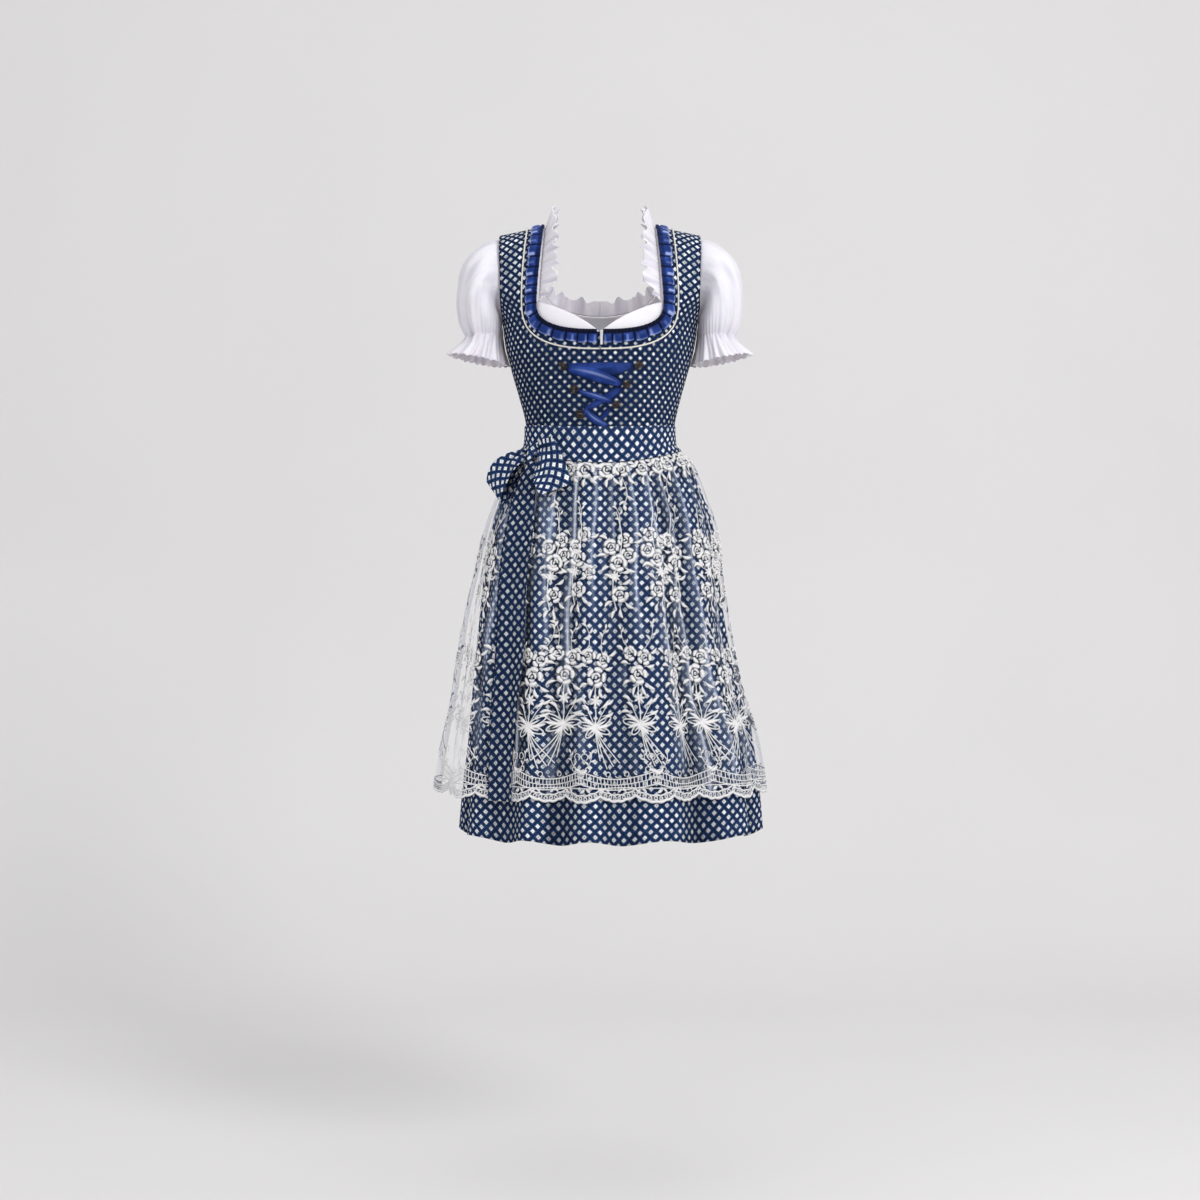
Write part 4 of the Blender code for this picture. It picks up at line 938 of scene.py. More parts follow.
def add_panel(name, neck, arm, face, sides, low_level, out, thickness, material, repeat, crease):
    """A panel of the bodice or the blouse, with small creases, painted shade in them and over the lower left
    of the front, and, where the cotton is printed, painted light over the straps.
    """
    theta, level, quads = panel_grid(neck, arm, face, sides, low_level)
    place, _, _, normal = body_frame(theta, level)
    x = place[:, 0]
    pull = ease((-0.23 - level) / 0.09) * ripple(theta * 26, level * 30, 11 + face)
    drag = np.exp(-((np.abs(x) - 0.145) / 0.02) ** 2) * ripple(theta * 20, level * 95, 17 + face)
    lift = crease * (0.55 * pull + 0.5 * drag + 0.25 * ripple(theta * 15, level * 45, 23 + face))
    edge = ease((SHOULDER - level) / 0.02)
    points = place + normal * (out + lift * edge)[:, None]
    points[level > SHOULDER - 0.001, 1] = -face * SEAM
    levels = np.linspace(low_level, SHOULDER, 200)
    front_turn, strap_middle = 0.75, 0.12
    line = body_place(np.where(levels < YOKE, front_turn, theta_of(strap_middle, levels)), levels)
    steps = np.linalg.norm(np.diff(line, axis=0)[:, 1:], axis=1)
    along = np.concatenate([[0], np.cumsum(np.minimum(steps, 0.004))])
    turn = np.where(theta > math.pi / 2, math.pi - theta, theta)
    mean = (read(TORSO, 2, level) + depth_at(TORSO, theta, level)) / 2
    u = mix(turn * mean, x, ease((level + 0.14) / 0.06)) * (1 if face > 0 else -1)
    uv = np.stack([u, np.interp(level, levels, along)], axis=-1) / repeat
    # Painted shade in the creases and over the lower left of the front; where it is negative, painted light
    # over the straps
    shade = 0.28 * ease(-0.9 * pull) + 0.22 * ease(-drag) - 0.9 * ease((level + 0.135) / 0.05)
    if face > 0:
        shade = shade + 0.22 * ease((-0.17 - level) / 0.05) * (1 - ease((x - 0.02) / 0.07))
    return add_wall(name, points, normal, quads, thickness, material, uv, {"fold": np.clip(shade, -1, 0.9)})


class DIRNDL_OT_bodice(bpy.types.Operator):
    """Builds the bodice's printed cotton panels"""

    bl_idname = "dirndl.bodice"
    bl_label = "Bodice"

    def execute(self, context):
        own = settings()
        cut = (WAIST, BODICE_OUT, BODICE_WALL, "bodice_cotton", own.bodice_repeat, own.crease)
        panels = (
            # piece, neckline, face, sides, width and length of its cut, area
            ("bodice_front_left", "bodice_front", 1, (-1,), (0.205, 0.400), 0.052),
            ("bodice_front_right", "bodice_front", 1, (1,), (0.205, 0.400), 0.052),
            ("bodice_back", "bodice_back", -1, (-1, 1), (0.400, 0.400), 0.110),
        )
        for node, neck, face, sides, flat, area in panels:
            piece = add_panel(node + "_cloth", neck, "bodice", face, sides, *cut)
            finish(piece, [node])
        return {"FINISHED"}


# Blouse

def sleeve_ring(count):
    """Points round the armhole of the blouse, from the underarm up the front and down the back."""
    rims = []
    for face, neck in ((1, "blouse_front"), (-1, "blouse_back")):
        strap_low = strap_end(neck_curve(neck, 1.0)[1])
        edge_turn = theta_of(arm_across("blouse", strap_low), strap_low)
        spots = [arm_spot("blouse", edge_turn, strap_low, share) for share in (1.0, 0.5)]
        for n in range(6):
            at = mix(strap_low, SHOULDER, n / 5)
            spots.append((theta_of(arm_across("blouse", at), at), at))
        spots = np.array(spots)
        turns = spots[:, 0] if face > 0 else math.pi - spots[:, 0]
        rims.append(body_point(turns, spots[:, 1], 0.0))
    rim = np.concatenate([rims[0], rims[1][::-1][1:-1]])
    closed = np.concatenate([rim, rim[:1]])
    at = np.linspace(0, len(rim), count, endpoint=False)
    ring = np.stack([np.interp(at, np.arange(len(closed)), closed[:, a]) for a in range(3)], -1)
    for _ in range(count // 28):
        ring = (np.roll(ring, 1, 0) + ring * 2 + np.roll(ring, -1, 0)) / 4
    return ring


def sleeve_grid(count=208, steps=48):
    """The right puff sleeve from the armhole to its frill, and the shade painted on it: in its gathers and
    folds, towards the cuff and in the frill, and a little all over.
    """
    ring = sleeve_ring(count)
    heart = np.array(SLEEVE_HEART)
    start = ring + unit(heart - ring) * 0.0028
    turn = np.linspace(0, 2 * math.pi, count, endpoint=False)
    cx, cy = -np.cos(turn), -np.sin(turn)
    flat = np.stack([cx, cy, 0 * cx], -1)
    end = np.array(CUFF_CENTRE) + flat * np.array([CUFF_RADII[0], CUFF_RADII[1], 0])
    outer = (1 + cx) / 2
    radial = unit(start - heart)
    lean = 1 - np.maximum(0.0, -radial[:, 2])
    first = start + np.stack([0.007 + 0.051 * outer, radial[:, 1] * 0.030 * lean,
                              0.004 * np.abs(radial[:, 2])], -1)
    second = end + np.stack([cx * 0.036 * outer, cy * 0.036,
                             0.008 + 0.037 * np.maximum(outer, np.abs(cy))], -1)
    grid, shade = [], []
    for step in np.linspace(0, 1, steps):
        a, b, c, d = (1 - step) ** 3, 3 * step * (1 - step) ** 2, 3 * step ** 2 * (1 - step), step ** 3
        line = start * a + first * b + second * c + end * d
        cap = math.exp(-((step - 0.02) / 0.20) ** 2)
        cuff = math.exp(-((step - 1.0) / 0.26) ** 2)
        small = np.cos(turn * 34 + 1.6 * np.sin(turn * 5) + step * 2)
        wide = np.cos(turn * 9 + 2.2 * np.sin(turn * 2 + 1) + step * 3.4)
        drape = ripple(turn * 6 + step * 5, step * np.full(count, 9.0), 5)
        slant = np.cos(turn * 5 - step * 7.5 + 1.2 * np.sin(turn * 3))
        slant = slant * math.exp(-((step - 0.35) / 0.25) ** 2)
        swell = 0.0011 * small * (cap * 0.5 + cuff) + 0.0026 * wide * (0.25 + cuff) + 0.0016 * drape
        swell = swell + 0.0030 * ease(slant)
        swell *= (0.25 + 0.75 * outer) * min(1.0, step * 6)
        grid.append(line + flat * swell[:, None])
        # Painted shade in the valleys of the gathers and folds, towards the cuff and a little all over
        valley = 0.35 * small * (cap * 0.4 + cuff) + 0.40 * wide * (0.3 + cuff)
        valley = valley + 0.25 * drape + 0.5 * slant
        shade.append(np.clip(-valley - 0.05, 0, 1) * 0.8 + 0.10 * cuff + 0.14)
    for row, (x, y, height, tilt, radius_x, radius_y) in enumerate(FRILL_RINGS):
        before = grid[-1]
        wave = np.cos(turn * 15 + 1.3 * np.sin(turn * 4) + row * 0.3) + 0.5 * np.cos(turn * 27 + 1.0)
        swing = (0.0012, 0.0032)[row] * wave
        target = np.stack([x + cx * (radius_x + swing), y + cy * (radius_y + swing),
                           height + tilt * cx - 0.0012 * np.cos(turn * 30)], -1)
        for share in np.linspace(0, 1, 8)[1:]:
            grid.append(mix(before, target, share))
            shade.append(np.clip(0.45 * (1 - share) * (1 - row) - 0.35 * wave, 0, 0.8) * 0.9 + 0.10)
    return np.array(grid), np.array(shade)


def neck_frill_grid():
    """The right half of the gathered neck frill, up the front and down the back, and its shadow."""
    count_front, count_back = 200, 170
    front = neck_frames("blouse_front", 1, count_front, straight_only=True)
    back = neck_frames("blouse_back", -1, count_back, 0.0012)
    theta, level, normal, away = (np.concatenate([a, b[::-1]]) for a, b in zip(front, back))
    total = len(theta)
    tilt = np.radians(np.concatenate([
        mix(12.0, 48.0, ease(np.linspace(0, 1, count_front))),
        mix(48.0, 38.0, ease(np.linspace(0, 1, count_back))),
    ]))
    base = beside(theta, level, away, -0.0016, 0.0)
    outwards = away * -np.cos(tilt)[:, None] + normal * np.sin(tilt)[:, None]
    over = away * np.sin(tilt)[:, None] + normal * np.cos(tilt)[:, None]
    n = np.arange(total)
    end = ease(np.minimum(n, 36) / 36) * 0.8 + 0.2
    calm = np.minimum(1.0, (total - 1 - n) / 18)
    phase = n * (math.pi / 13) + 1.1 * np.sin(n / 17.0)
    grid, shade = [], []
    for share in np.linspace(0, 1, 12):
        wave = np.cos(phase) + 0.45 * np.cos(phase * 2.3 + 1.0)
        gather = 0.0005 * np.cos(n * math.pi / 4) * (1 - share)
        lift = calm * (0.0042 * share * wave + gather) + 0.003 * share
        reach = 0.0350 * share * end * (1 + 0.10 * calm * np.cos(phase * 1.7) * share)
        grid.append(base + outwards * reach[:, None] + over * lift[:, None])
        shade.append(np.clip(-0.40 * wave * calm * (0.4 + share) + 0.35 * (1 - share) ** 2 + 0.10, 0, 0.8))
    grid = np.array(grid)
    grid[:, -12:, 0] = np.maximum(grid[:, -12:, 0], 0.0)
    grid[:, -1, 0] = 0.0
    return grid, np.array(shade)


class DIRNDL_OT_blouse(bpy.types.Operator):
    """Builds the cropped blouse: panels, puff sleeves with their frills, and the neck frill"""

    bl_idname = "dirndl.blouse"
    bl_label = "Blouse"

    def execute(self, context):
        crease = settings().crease * 0.7
        for node, face, flat, area in (("blouse_front", 1, (0.42, 0.27), 0.070),
                                       ("blouse_back", -1, (0.42, 0.27), 0.078)):
            piece = add_panel(node + "_cloth", node, "blouse", face, (-1, 1), BLOUSE_END, 0.0,
                              BLOUSE_WALL, "blouse_cotton", 1.0, crease)
            finish(piece, [node])
        sleeve, sleeve_shade = sleeve_grid()
        frill, frill_shade = neck_frill_grid()
        pairs = (
            # piece, grid, shade, closed round, width and length of its cut, area
            ("blouse_sleeve_right", sleeve[:, ::-1], sleeve_shade[:, ::-1], True, (0.40, 0.23), 0.062),
            ("blouse_sleeve_left", mirrored(sleeve), sleeve_shade, True, (0.40, 0.23), 0.062),
            ("blouse_neck_frill_right", frill, frill_shade, False, (0.62, 0.036), 0.020),
            ("blouse_neck_frill_left", mirrored(frill)[:, ::-1], frill_shade[:, ::-1], False,
             (0.62, 0.036), 0.020),
        )
        for node, grid, shade, closed, flat, area in pairs:
            piece = add_cloth(node + "_cloth", grid, SLEEVE_WALL, "blouse_cotton", {"fold": shade},
                              closed=closed)
            finish(piece, [node])
        return {"FINISHED"}


# Trims of the neckline

def pleat(phase):
    """Lift of a box pleat over one repeat."""
    phase = phase % 1.0
    rise = ease(phase / 0.07) * (1 - ease((phase - 0.80) / 0.08))
    return rise * (0.70 + 0.30 * np.sin(np.clip(phase / 0.88, 0, 1) * math.pi))


def ruffle_grid(face, pleats, start_gap):
    """The pleated ruffle with painted shade and highlights: shade fills the gaps between pleats and the tier
    at the neckline, and highlights lie on the pleats and along the outer edge.
    """
    piece = "bodice_front" if face > 0 else "bodice_back"
    count = pleats * PLEAT_COLUMNS
    theta, level, _, away = neck_frames(piece, face, count, start_gap)
    phase = np.linspace(0, pleats, count) + 0.30 * np.sin(np.arange(count) / 27.0)
    lift = pleat(phase)
    whole, part = np.floor(phase), phase % 1.0
    tilt = np.sin(whole * 2.7) * 0.0007 + (part - 0.44) * 0.0018 * np.sin(whole * 1.9)
    pleat_highlight = np.exp(-((part - 0.22 - 0.12 * np.sin(whole * 4.1)) / 0.13) ** 2)
    pleat_highlight = pleat_highlight * (0.65 + 0.35 * np.sin(whole * 3.3))
    low = ease((YOKE - 0.012 - level) / 0.025) if face > 0 else 0 * level
    rows, shade = [], []
    for share in np.linspace(1, 0, 15):
        reach = mix(-0.0035, 0.0138 + 0.0022 * lift + tilt, share)
        step = 0.0008 + 0.0026 * ease((share - 0.36) / 0.10) * (1 - 0.25 * ease((share - 0.7) / 0.3))
        upper = 0.0010 * math.exp(-((share - 0.14) / 0.12) ** 2) * (1 + np.cos(phase * 19))
        rows.append(beside(theta, level, away, reach, TRIM_OUT + step * lift + upper))
        # Painted shade in the gaps and on the tier, deeper on the front's lower run; painted highlights on
        # the pleats and the outer edge
        tier = 1 - ease((share - 0.30) / 0.12)
        dark = 0.94 * (1 - ease(lift * 1.3)) + tier * (0.62 + 0.25 * low) + 0.30 * (1 - share) * low
        shine = pleat_highlight * (1.1 - 0.35 * low) * ease((share - 0.38) / 0.14)
        shine = shine + 0.55 * ease((share - 0.86) / 0.10)
        shade.append(np.clip(dark - shine * (1 - tier), -1, 0.96))
    return np.array(rows), np.array(shade)


def piping_path(face, count, start_gap):
    piece = "bodice_front" if face > 0 else "bodice_back"
    theta, level, _, away = neck_frames(piece, face, count, start_gap)
    return beside(theta, level, away, PIPING_FROM_EDGE, TRIM_OUT + PIPING_RADIUS)


class DIRNDL_OT_neck_trims(bpy.types.Operator):
    """Builds the pleated satin ruffle and the piping round the bodice neckline"""

    bl_idname = "dirndl.neck_trims"
    bl_label = "Neckline trims"

    def execute(self, context):
        front, dim = ruffle_grid(1, pleats=17, start_gap=0.0046)
        back, dark = ruffle_grid(-1, pleats=14, start_gap=0.0)
        whole = np.concatenate([back[:, ::-1], mirrored(back)[:, 1:]], axis=1)
        dusk = np.concatenate([dark[:, ::-1], dark[:, 1:]], axis=1)
        for node, grid, shade, width in (("neck_ruffle_right", front, dim, 0.42),
                                         ("neck_ruffle_left", mirrored(front)[:, ::-1], dim[:, ::-1], 0.42),
                                         ("neck_ruffle_back", whole, dusk, 0.72)):
            piece = add_cloth(node + "_satin", grid, SATIN_WALL, "satin_ribbon", {"fold": shade})
            finish(piece, [node])
        right = piping_path(1, 120, 0.0004)
        half = piping_path(-1, 90, 0.0)
        for node, path in (("neck_piping_right", right), ("neck_piping_left", mirrored(right)[::-1]),
                           ("neck_piping_back", np.concatenate([half[::-1], mirrored(half)[1:]]))):
            points, faces = tube(path, PIPING_RADIUS, PIPING_SIDES)
            along = np.repeat(np.linspace(0, len(path) * PIPING_STEP, len(path)), PIPING_SIDES)
            around = np.tile(np.linspace(0, 1, PIPING_SIDES, endpoint=False), len(path))
            piece = add_mesh(node + "_cord", points, faces, "piping_cord", np.stack([along, around], -1))
            finish(piece, [node])
        return {"FINISHED"}


# Lacing

def front_frame(across, height, out):
    theta = theta_of(across, height)
    _, right, up, normal = body_frame(theta, height)
    return body_point(theta, np.asarray(height), out), unit(right), unit(up), normal


def strand_grid(x0, z0, x1, z1, w0, w1, w2, out, sag, steps=48, columns=12):
    """One strand of ribbon from hook to hook, wider in its middle, and its shadow and gleam."""
    along = unit(np.array([x1 - x0, z1 - z0]))
    side = np.array([-along[1], along[0]])
    share = np.linspace(0, 1, steps + 1)
    bow = np.sin(math.pi * share)
    width = mix(w0, w2, share) + (w1 - (w0 + w2) / 2) * bow
    rows, shade = [], []
    for where in np.linspace(-0.5, 0.5, columns + 1):
        reach = sag * bow + width * where
        x = mix(x0, x1, share) + side[0] * reach
        z = mix(z0, z1, share) + side[1] * reach
        fold = 0.0008 * np.cos(where * 9 + share * 5) * bow + 0.0005 * np.cos(where * 23 - share * 4)
        crown = 0.0020 * (1 - (2 * where) ** 2) * bow
        rows.append(body_point(theta_of(x, z), z, out + crown + fold * 0.7))
        low = 1 - ease((where + 0.5) / 0.35)
        shine = math.exp(-((where - 0.16) / 0.14) ** 2) * bow * 0.55
        dark = 0.55 * low + 0.75 * (1 - ease(np.minimum(share, 1 - share) / 0.10))
        shade.append(np.clip(dark - shine, -1, 0.85))
    grid, shade = np.array(rows), np.array(shade)
    return (grid, shade) if x1 > x0 else (grid[:, ::-1], shade[:, ::-1])


def add_hook(name, across, height):
    """A filigree hook: rings and grains round a dome, flat on the bodice."""
    place, right, up, normal = front_frame(across, height, BODICE_OUT + BODICE_WALL + 0.0004)
    turn = Matrix([[*v] for v in (right, up, normal)]).transposed().to_4x4()
    turn.translation = Vector(place)
    work = bmesh.new()

    def ring(x, y, z, major, minor, around=14, sides=6):
        rows = []
        for i in range(around):
            a = 2 * math.pi * i / around
            spots = []
            for k in range(sides):
                b = 2 * math.pi * k / sides
                r = major + minor * math.cos(b)
                spots.append(work.verts.new((x + r * math.cos(a), y + r * math.sin(a),
                                             z + minor * math.sin(b))))
            rows.append(spots)
        for i in range(around):
            for k in range(sides):
                a, b = rows[i], rows[(i + 1) % around]
                work.faces.new((a[k], b[k], b[(k + 1) % sides], a[(k + 1) % sides]))

    for n in range(6):
        a = math.pi * n / 3
        ring(0.0052 * math.cos(a), 0.0052 * math.sin(a), 0.0011, 0.0018, 0.00050)
        a += math.pi / 6
        spot = Matrix.Translation((0.0060 * math.cos(a), 0.0060 * math.sin(a), 0.0009))
        bmesh.ops.create_icosphere(work, subdivisions=1, radius=0.0007, matrix=spot)
    ring(0, 0, 0.0012, 0.0032, 0.00055, 18)
    dome = Matrix.Translation((0, 0, 0.0014)) @ Matrix.Diagonal((1, 1, 0.9, 1))
    bmesh.ops.create_icosphere(work, subdivisions=2, radius=0.0022, matrix=dome)
    bmesh.ops.transform(work, matrix=turn, verts=work.verts)
    bmesh.ops.recalc_face_normals(work, faces=work.faces)
    mesh = bpy.data.meshes.new(name + "_filigree")
    work.to_mesh(mesh)
    work.free()
    mesh.shade_smooth()
    mesh.materials.append(bpy.data.materials["filigree_iron"])
    return finish(add_object(mesh.name, mesh), [name])


class DIRNDL_OT_lacing(bpy.types.Operator):
    """Builds the satin lacing ribbon and its filigree hooks"""

    bl_idname = "dirndl.lacing"
    bl_label = "Lacing"

    def execute(self, context):
        for name, x0, z0, x1, z1, w0, w1, w2, out, sag in LACING:
            grid, shade = strand_grid(x0, z0, x1, z1, w0, w1, w2, out, sag)
            # The bar and the strands that pass under the others get more painted shade
            if name in ("lace_bar", "lace_under_middle", "lace_under_end"):
                shade = shade * 0.45 + 0.40
            piece = add_cloth(name + "_ribbon", grid, RIBBON_WALL, "satin_ribbon", {"fold": shade})
            finish(piece, [name])
        for name, across, height in HOOKS:
            add_hook(name, across, height)
        return {"FINISHED"}


# Skirt

def fine_folds(theta, height):
    return np.cos(29 * theta + 1.4 * np.sin(5 * theta) + height * 5)


def skirt_creases(theta, height):
    """Small uneven folds between the broad ones, deeper towards the hem."""
    down = ease((-0.36 - height) / 0.45)
    fine = fine_folds(theta, height)
    wide = np.cos(19 * theta + 1.1 * np.sin(4 * theta + 2) - height * 3)
    pull = np.cos(53 * theta + 2.0 * np.sin(9 * theta)) * ease((height + 0.52) / 0.14)
    return down * (0.7 * fine + 1.3 * wide) + 0.7 * pull * ease((-0.337 - height) / 0.01)


def skirt_valley(theta, height):
    """Share of painted shadow in the valleys between the folds and the gathers, with a deep painted shadow
    beside the tail.
    """
    down = ease((-0.345 - height) / 0.10)
    broad = ease(0.5 - 0.75 * fold_share(theta)) * (0.45 + 0.35 * np.cos(3 * theta + 1.0) ** 2)
    fine = ease(-0.6 * fine_folds(theta, height)) * 0.30
    gather = ease(-np.cos(GATHERS * theta)) * ease((height + 0.46) / 0.10) * 0.45
    # A deep painted shadow beside the tail, fading towards the hem
    beside_tail = np.degrees(theta) - mix(-43.0, -33.0, ease((-0.38 - height) / 0.5))
    deep = 0.95 * np.exp(-(((beside_tail - 0.8) / 4.2) ** 2)) * ease((-0.37 - height) / 0.04)
    deep = deep * (1 - 0.7 * ease((-0.80 - height) / 0.10))
    return np.clip(down * (broad * 0.9 + fine) + gather + deep, 0, 0.92)


class DIRNDL_OT_skirt(bpy.types.Operator):
    """Builds the gathered skirt of printed cotton"""

    bl_idname = "dirndl.skirt"
    bl_label = "Skirt"

    def execute(self, context):
        own = settings()
        gap, columns = 0.0008, 261
        heights = SKIRT[-1][0] + (SKIRT[0][0] - SKIRT[-1][0]) * np.linspace(0, 1, 84) ** 0.92
        for node, middle in (("skirt_front", 0.0), ("skirt_back", math.pi)):
            theta = np.linspace(middle - math.pi / 2 + gap, middle + math.pi / 2 - gap, columns)
            t, z = np.meshgrid(theta, heights)
            hem = ease((SKIRT[-2][0] - z) / (SKIRT[-2][0] - SKIRT[-1][0]))
            z = z + 0.004 * fold_share(t) * hem
            side = ease((math.pi / 2 - np.abs(t - middle)) / 0.06)
            grid = skirt_point(t, z, own.crease * 0.8 * skirt_creases(t, z) * side)
            turn = np.where(t > math.pi, t - 2 * math.pi, t)
            piece = add_cloth(node + "_cloth", grid, SKIRT_WALL, "skirt_cotton",
                              {"fold": skirt_valley(turn, z)}, own.skirt_repeat, middle=columns // 2)
            finish(piece, [node])
        return {"FINISHED"}


# Apron

class DIRNDL_OT_apron(bpy.types.Operator):
    """Builds the net apron with its gathers and scalloped edge"""

    bl_idname = "dirndl.apron"
    bl_label = "Apron net"

    def execute(self, context):
        columns = 301
        theta = np.linspace(-APRON_REACH, APRON_REACH, columns)
        share = np.linspace(0, 1, 90)
        top = band_height(theta, *BAND[0][1:4]) - 0.0006
        low = scallop_edge(theta)
        z = mix(low[None, :], top[None, :], share[:, None])
        t = np.broadcast_to(theta, z.shape)
        grid = apron_point(t, z)
        _, fold = ridge_share(t, z)
        # edge marks where the net covers more and is painted grey with shade: its sides and its scalloped
        # edge
        edge = np.maximum(ease((0.10 - (APRON_REACH - np.abs(t))) / 0.10),
                          ease((0.02 - share[:, None]) / 0.02))
        piece = add_cloth("apron_net", grid, NET_WALL, "apron_tulle", {"fold": fold, "edge": edge},
                          middle=columns // 2)
        finish(piece, ["apron_skirt"])
        return {"FINISHED"}


# Embroidery: strokes of thread in a flat drawing, laid over the net

class Drawing:
    """Collects strokes as flat points with a height, and the faces between them."""

    def __init__(self):
        self.points = []
        self.faces = []
        self.count = 0

    def stroke(self, path, width, relief=0.0005):
        """A closed ridge of thread along a path; width is one number or one for each point."""
        path = np.asarray(path, float)
        ahead = np.gradient(path, axis=0)
        side = unit(np.stack([-ahead[:, 1], ahead[:, 0]], -1))
        half = np.broadcast_to(np.asarray(width, float) / 2, len(path))[:, None]
        lifts = relief * np.minimum(1.0, half[:, 0] / 0.0005)
        rows = [np.column_stack([path + side * half, 0 * lifts]),
                np.column_stack([path, lifts]),
                np.column_stack([path - side * half, 0 * lifts])]
        n = len(path)
        self.points.append(np.stack(rows, axis=1).reshape(-1, 3))
        a = self.count + np.arange(n - 1) * 3
        for left, right in ((0, 1), (1, 2), (2, 0)):
            self.faces.append(np.stack([a + left, a + right, a + right + 3, a + left + 3], -1))
        self.count += 3 * n

    def place(self, other, x, y, turn=0.0, flip=1.0):
        """Adds another drawing at a place, turned to the left and where flip is -1 mirrored."""
        c, s = math.cos(turn), math.sin(turn)
        for points in other.points:
            px, py = points[:, 0] * flip, points[:, 1]
            self.points.append(np.column_stack([x + px * c - py * s, y + px * s + py * c, points[:, 2]]))
        for faces in other.faces:
            self.faces.append((faces if flip > 0 else faces[:, ::-1]) + self.count)
        self.count += other.count

    def scatter(self, other, spots, flip=1.0):
        """Adds another drawing at each place and turn of a list."""
        for x, y, turn in spots:
            self.place(other, x * flip, y, turn * flip)


def arc(x, y, radius, first, last, steps, squash=1.0):
    turn = np.radians(np.linspace(first, last, steps))
    return np.column_stack([x + radius * np.cos(turn), y + radius * squash * np.sin(turn)])


def taper(steps, width, tip=0.15):
    return width * (tip + (1 - tip) * np.sin(np.linspace(0, 1, steps) * math.pi))


def leaf(length, width, bend=0.15, stalk=0.0):
    """A pointed leaf, with a stalk of the given share of its length."""
    made = Drawing()
    t = np.linspace(0, 1, 7)
    path = np.column_stack([bend * length * np.sin(t * math.pi), (stalk + t) * length])
    made.stroke(path, taper(7, width, 0.08), 0.0006)
    if stalk:
        made.stroke(np.array([(0.0, 0.0), (0.0, stalk * length * 1.1)]), 0.0010, 0.0004)
    return made


def rose(radius, seed):
    """A round rose: a ring of broad petals, a ring of small ones and a heart, with fine gaps between."""
    rng = np.random.default_rng(seed)
    made = Drawing()
    for n in range(5):
        a = n * 72 + rng.uniform(-9, 9)
        made.stroke(arc(0, 0, radius * rng.uniform(0.70, 0.82), a - 30, a + 30, 7, 0.92),
                    taper(7, radius * 0.52, 0.55), 0.0009)
    for n in range(3):
        a = n * 120 + rng.uniform(20, 60)
        made.stroke(arc(0, 0, radius * 0.36, a - 50, a + 50, 7), taper(7, radius * 0.27, 0.5), 0.0012)
    made.stroke(arc(0, 0, radius * 0.09, 0, 290, 6), radius * 0.16, 0.0014)
    return made


def star(radius, petals):
    made = Drawing()
    made.scatter(leaf(radius, radius * 0.42, 0.0), [(0, 0, 2 * math.pi * n / petals) for n in range(petals)])
    return made


def sprig(height, flip=1.0):
    """A curved stem with leaves in pairs and a bud."""
    made = Drawing()
    t = np.linspace(0, 1, 9)
    stem = np.column_stack([0.22 * height * np.sin(t * 2.4) * flip, t * height])
    made.stroke(stem, 0.0011, 0.0005)
    blade = leaf(height * 0.26, height * 0.10)
    for k, turn in ((3, 1.0), (5, -0.9), (7, 0.8)):
        made.place(blade, *stem[k], turn * flip)
    made.place(leaf(height * 0.24, height * 0.12, 0.0), *stem[-1], -0.3 * flip)
    return made


def ribbon_bow(size):
    """A tied bow: long open and filled loops round a knot, and trailing ends that sweep to one side."""
    made = Drawing()
    for turn, long, full in ((-1.05, 0.95, 0), (-1.42, 0.85, 1), (-1.95, 0.80, 0), (-2.45, 0.62, 1),
                             (1.00, 0.90, 1), (1.40, 0.95, 0), (1.85, 0.70, 1), (2.40, 0.66, 0)):
        if full:
            made.place(leaf(size * long, size * 0.20, 0.05), 0, 0, turn)
            continue
        t = np.linspace(0, 2 * math.pi, 15)
        loop = np.column_stack([np.sin(t) * 0.15 * size, (1 - np.cos(t)) * 0.5 * size * long])
        c, s = math.cos(turn), math.sin(turn)
        path = np.column_stack([loop[:, 0] * c - loop[:, 1] * s, loop[:, 0] * s + loop[:, 1] * c])
        made.stroke(path, 0.0021, 0.0006)
        made.place(leaf(size * long * 0.7, size * 0.10, 0.0), 0, 0, turn)
    made.place(star(size * 0.30, 7), 0, 0)
    for n, (reach, drop) in enumerate(((0.95, 1.9), (1.30, 1.75), (0.60, 2.0), (0.25, 1.6))):
        t = np.linspace(0, 1, 10)
        path = np.column_stack([size * reach * t ** 1.3, -size * drop * t])
        made.stroke(path, 0.0018 - 0.0001 * n, 0.0005)
    return made


